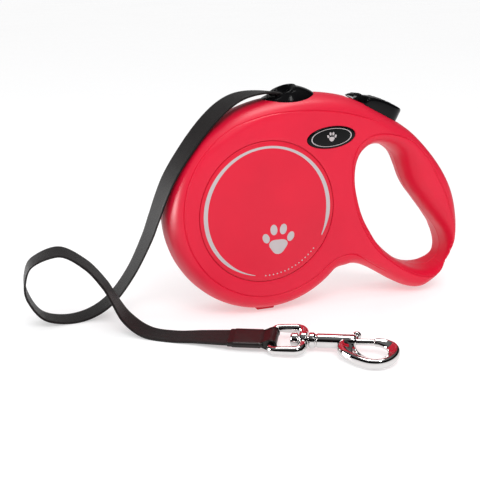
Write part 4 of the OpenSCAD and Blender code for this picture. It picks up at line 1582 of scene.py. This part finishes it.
class LeashColours(bpy.types.PropertyGroup):
    """Colours of the leash."""
    housing: bpy.props.FloatVectorProperty(
        name="Housing", description="Colour of the housing's shells", subtype="COLOR",
        default=(0.70, 0.006, 0.036), min=0, max=1)
    disc: bpy.props.FloatVectorProperty(
        name="Cover disc", description="Colour of the cover discs", subtype="COLOR",
        default=(0.68, 0.005, 0.032), min=0, max=1)
    trim: bpy.props.FloatVectorProperty(
        name="Trim", description="Colour of the outlet, button, lock and badge", subtype="COLOR",
        default=(0.003, 0.003, 0.0035), min=0, max=1)
    print_colour: bpy.props.FloatVectorProperty(
        name="Print", description="Colour of the printed ring and paw", subtype="COLOR",
        default=(0.50, 0.45, 0.46), min=0, max=1)
    tape: bpy.props.FloatVectorProperty(
        name="Tape", description="Colour of the woven tape", subtype="COLOR",
        default=(0.0065, 0.0038, 0.0038), min=0, max=1)
    sleeve: bpy.props.FloatVectorProperty(
        name="Sleeve", description="Colour of the leather sleeve", subtype="COLOR",
        default=(0.0065, 0.0022, 0.0022), min=0, max=1)
    hook: bpy.props.FloatVectorProperty(
        name="Hook", description="Colour of the plated hook", subtype="COLOR",
        default=(0.68, 0.665, 0.66), min=0, max=1)


class LEASH_OT_stage(bpy.types.Operator):
    """Camera, floor and soft studio light"""
    bl_idname = "leash.stage"
    bl_label = "Stage"

    def execute(self, context):
        build_camera(context)
        studio_world(context)
        build_floor(context)
        soft_light(context, "key", (-0.25, -0.75, 0.9), (-0.03, 0, 0.05), (0.7, 0.5), 6.0, plain=True)
        soft_light(context, "left_strip", (-0.42, 0.08, 0.09), (-0.1, 0, 0.08), (0.16, 0.16), 2.0,
                   mirrored=True)
        soft_light(context, "top_box", (0.05, 0.1, 0.8), (-0.03, 0, 0.1), (0.45, 0.25), 3.6,
                   mirrored=True)
        soft_light(context, "front_strip", (0.06, -0.6, 0.7), (-0.06, 0, 0.13), (0.1, 0.35), 1.0,
                   mirrored=True)
        context.scene.view_settings.view_transform = "Standard"
        return {"FINISHED"}


class LEASH_OT_cord(bpy.types.Operator):
    """The free tape with its sleeve, loop, eye, hook and bolt"""
    bl_idname = "leash.cord"
    bl_label = "Tape and Hook"

    def execute(self, context):
        tape, spots, length = build_tape(context)
        pieces = [build_sleeve(context), build_end_loop(context), *build_eye(context),
                  *build_hook(context), build_bolt(context), frame["nodes"]["trigger_spring"]]
        return {"FINISHED"}


class LEASH_OT_shells(bpy.types.Operator):
    """The two housing shells with their grooves and openings"""
    bl_idname = "leash.shells"
    bl_label = "Housing Shells"

    def execute(self, context):
        build_shells(context)
        return {"FINISHED"}


class LEASH_OT_discs(bpy.types.Operator):
    """The round cover discs"""
    bl_idname = "leash.discs"
    bl_label = "Cover Discs"

    def execute(self, context):
        build_discs(context)
        return {"FINISHED"}


class LEASH_OT_prints(bpy.types.Operator):
    """The printed ring, paw and dots on the discs"""
    bl_idname = "leash.prints"
    bl_label = "Prints"

    def execute(self, context):
        build_prints(context)
        return {"FINISHED"}


class LEASH_OT_badges(bpy.types.Operator):
    """The oval badges"""
    bl_idname = "leash.badges"
    bl_label = "Badges"

    def execute(self, context):
        build_badges(context)
        return {"FINISHED"}


class LEASH_OT_outlet(bpy.types.Operator):
    """The tape outlet's dome"""
    bl_idname = "leash.outlet"
    bl_label = "Tape Outlet"

    def execute(self, context):
        build_outlet(context)
        return {"FINISHED"}


class LEASH_OT_button(bpy.types.Operator):
    """The thumb button and its ribs"""
    bl_idname = "leash.button"
    bl_label = "Thumb Button"

    def execute(self, context):
        build_button(context)
        return {"FINISHED"}


class LEASH_OT_lock(bpy.types.Operator):
    """The lock ramp and its ribs"""
    bl_idname = "leash.lock"
    bl_label = "Lock"

    def execute(self, context):
        build_lock(context)
        return {"FINISHED"}


class LEASH_OT_screws(bpy.types.Operator):
    """The screw heads in the rear face"""
    bl_idname = "leash.screws"
    bl_label = "Screws"

    def execute(self, context):
        build_screws(context)
        return {"FINISHED"}


class LEASH_OT_inner(bpy.types.Operator):
    """Finishes of the reel, springs, pawl and other inner pieces"""
    bl_idname = "leash.inner"
    bl_label = "Inner Pieces"

    def execute(self, context):
        finish_inner_nodes(context)
        return {"FINISHED"}


OPERATORS = (LEASH_OT_stage, LEASH_OT_cord, LEASH_OT_shells, LEASH_OT_discs, LEASH_OT_prints,
             LEASH_OT_badges, LEASH_OT_outlet, LEASH_OT_button, LEASH_OT_lock, LEASH_OT_screws,
             LEASH_OT_inner)


class LEASH_PT_pieces(bpy.types.Panel):
    """Lists the leash's pieces and colours"""
    bl_idname = "LEASH_PT_pieces"
    bl_label = "Retractable Leash"
    bl_space_type = "VIEW_3D"
    bl_region_type = "UI"
    bl_category = "Leash"

    def draw(self, context):
        for name in LeashColours.__annotations__:
            self.layout.prop(context.scene.leash_colours, name)
        for operator in OPERATORS:
            self.layout.operator(operator.bl_idname)


CLASSES = (LeashColours, *OPERATORS, LEASH_PT_pieces)


def register():
    for made in CLASSES:
        bpy.utils.register_class(made)
    bpy.types.Scene.leash_colours = bpy.props.PointerProperty(type=LeashColours)


def unregister():
    del bpy.types.Scene.leash_colours
    for made in reversed(CLASSES):
        bpy.utils.unregister_class(made)


def main():
    register()
    bpy.ops.leash.stage()
    bpy.ops.leash.cord()
    bpy.ops.leash.shells()
    bpy.ops.leash.discs()
    bpy.ops.leash.prints()
    bpy.ops.leash.badges()
    bpy.ops.leash.outlet()
    bpy.ops.leash.button()
    bpy.ops.leash.lock()
    bpy.ops.leash.screws()
    bpy.ops.leash.inner()


if __name__ == "__main__":
    main()
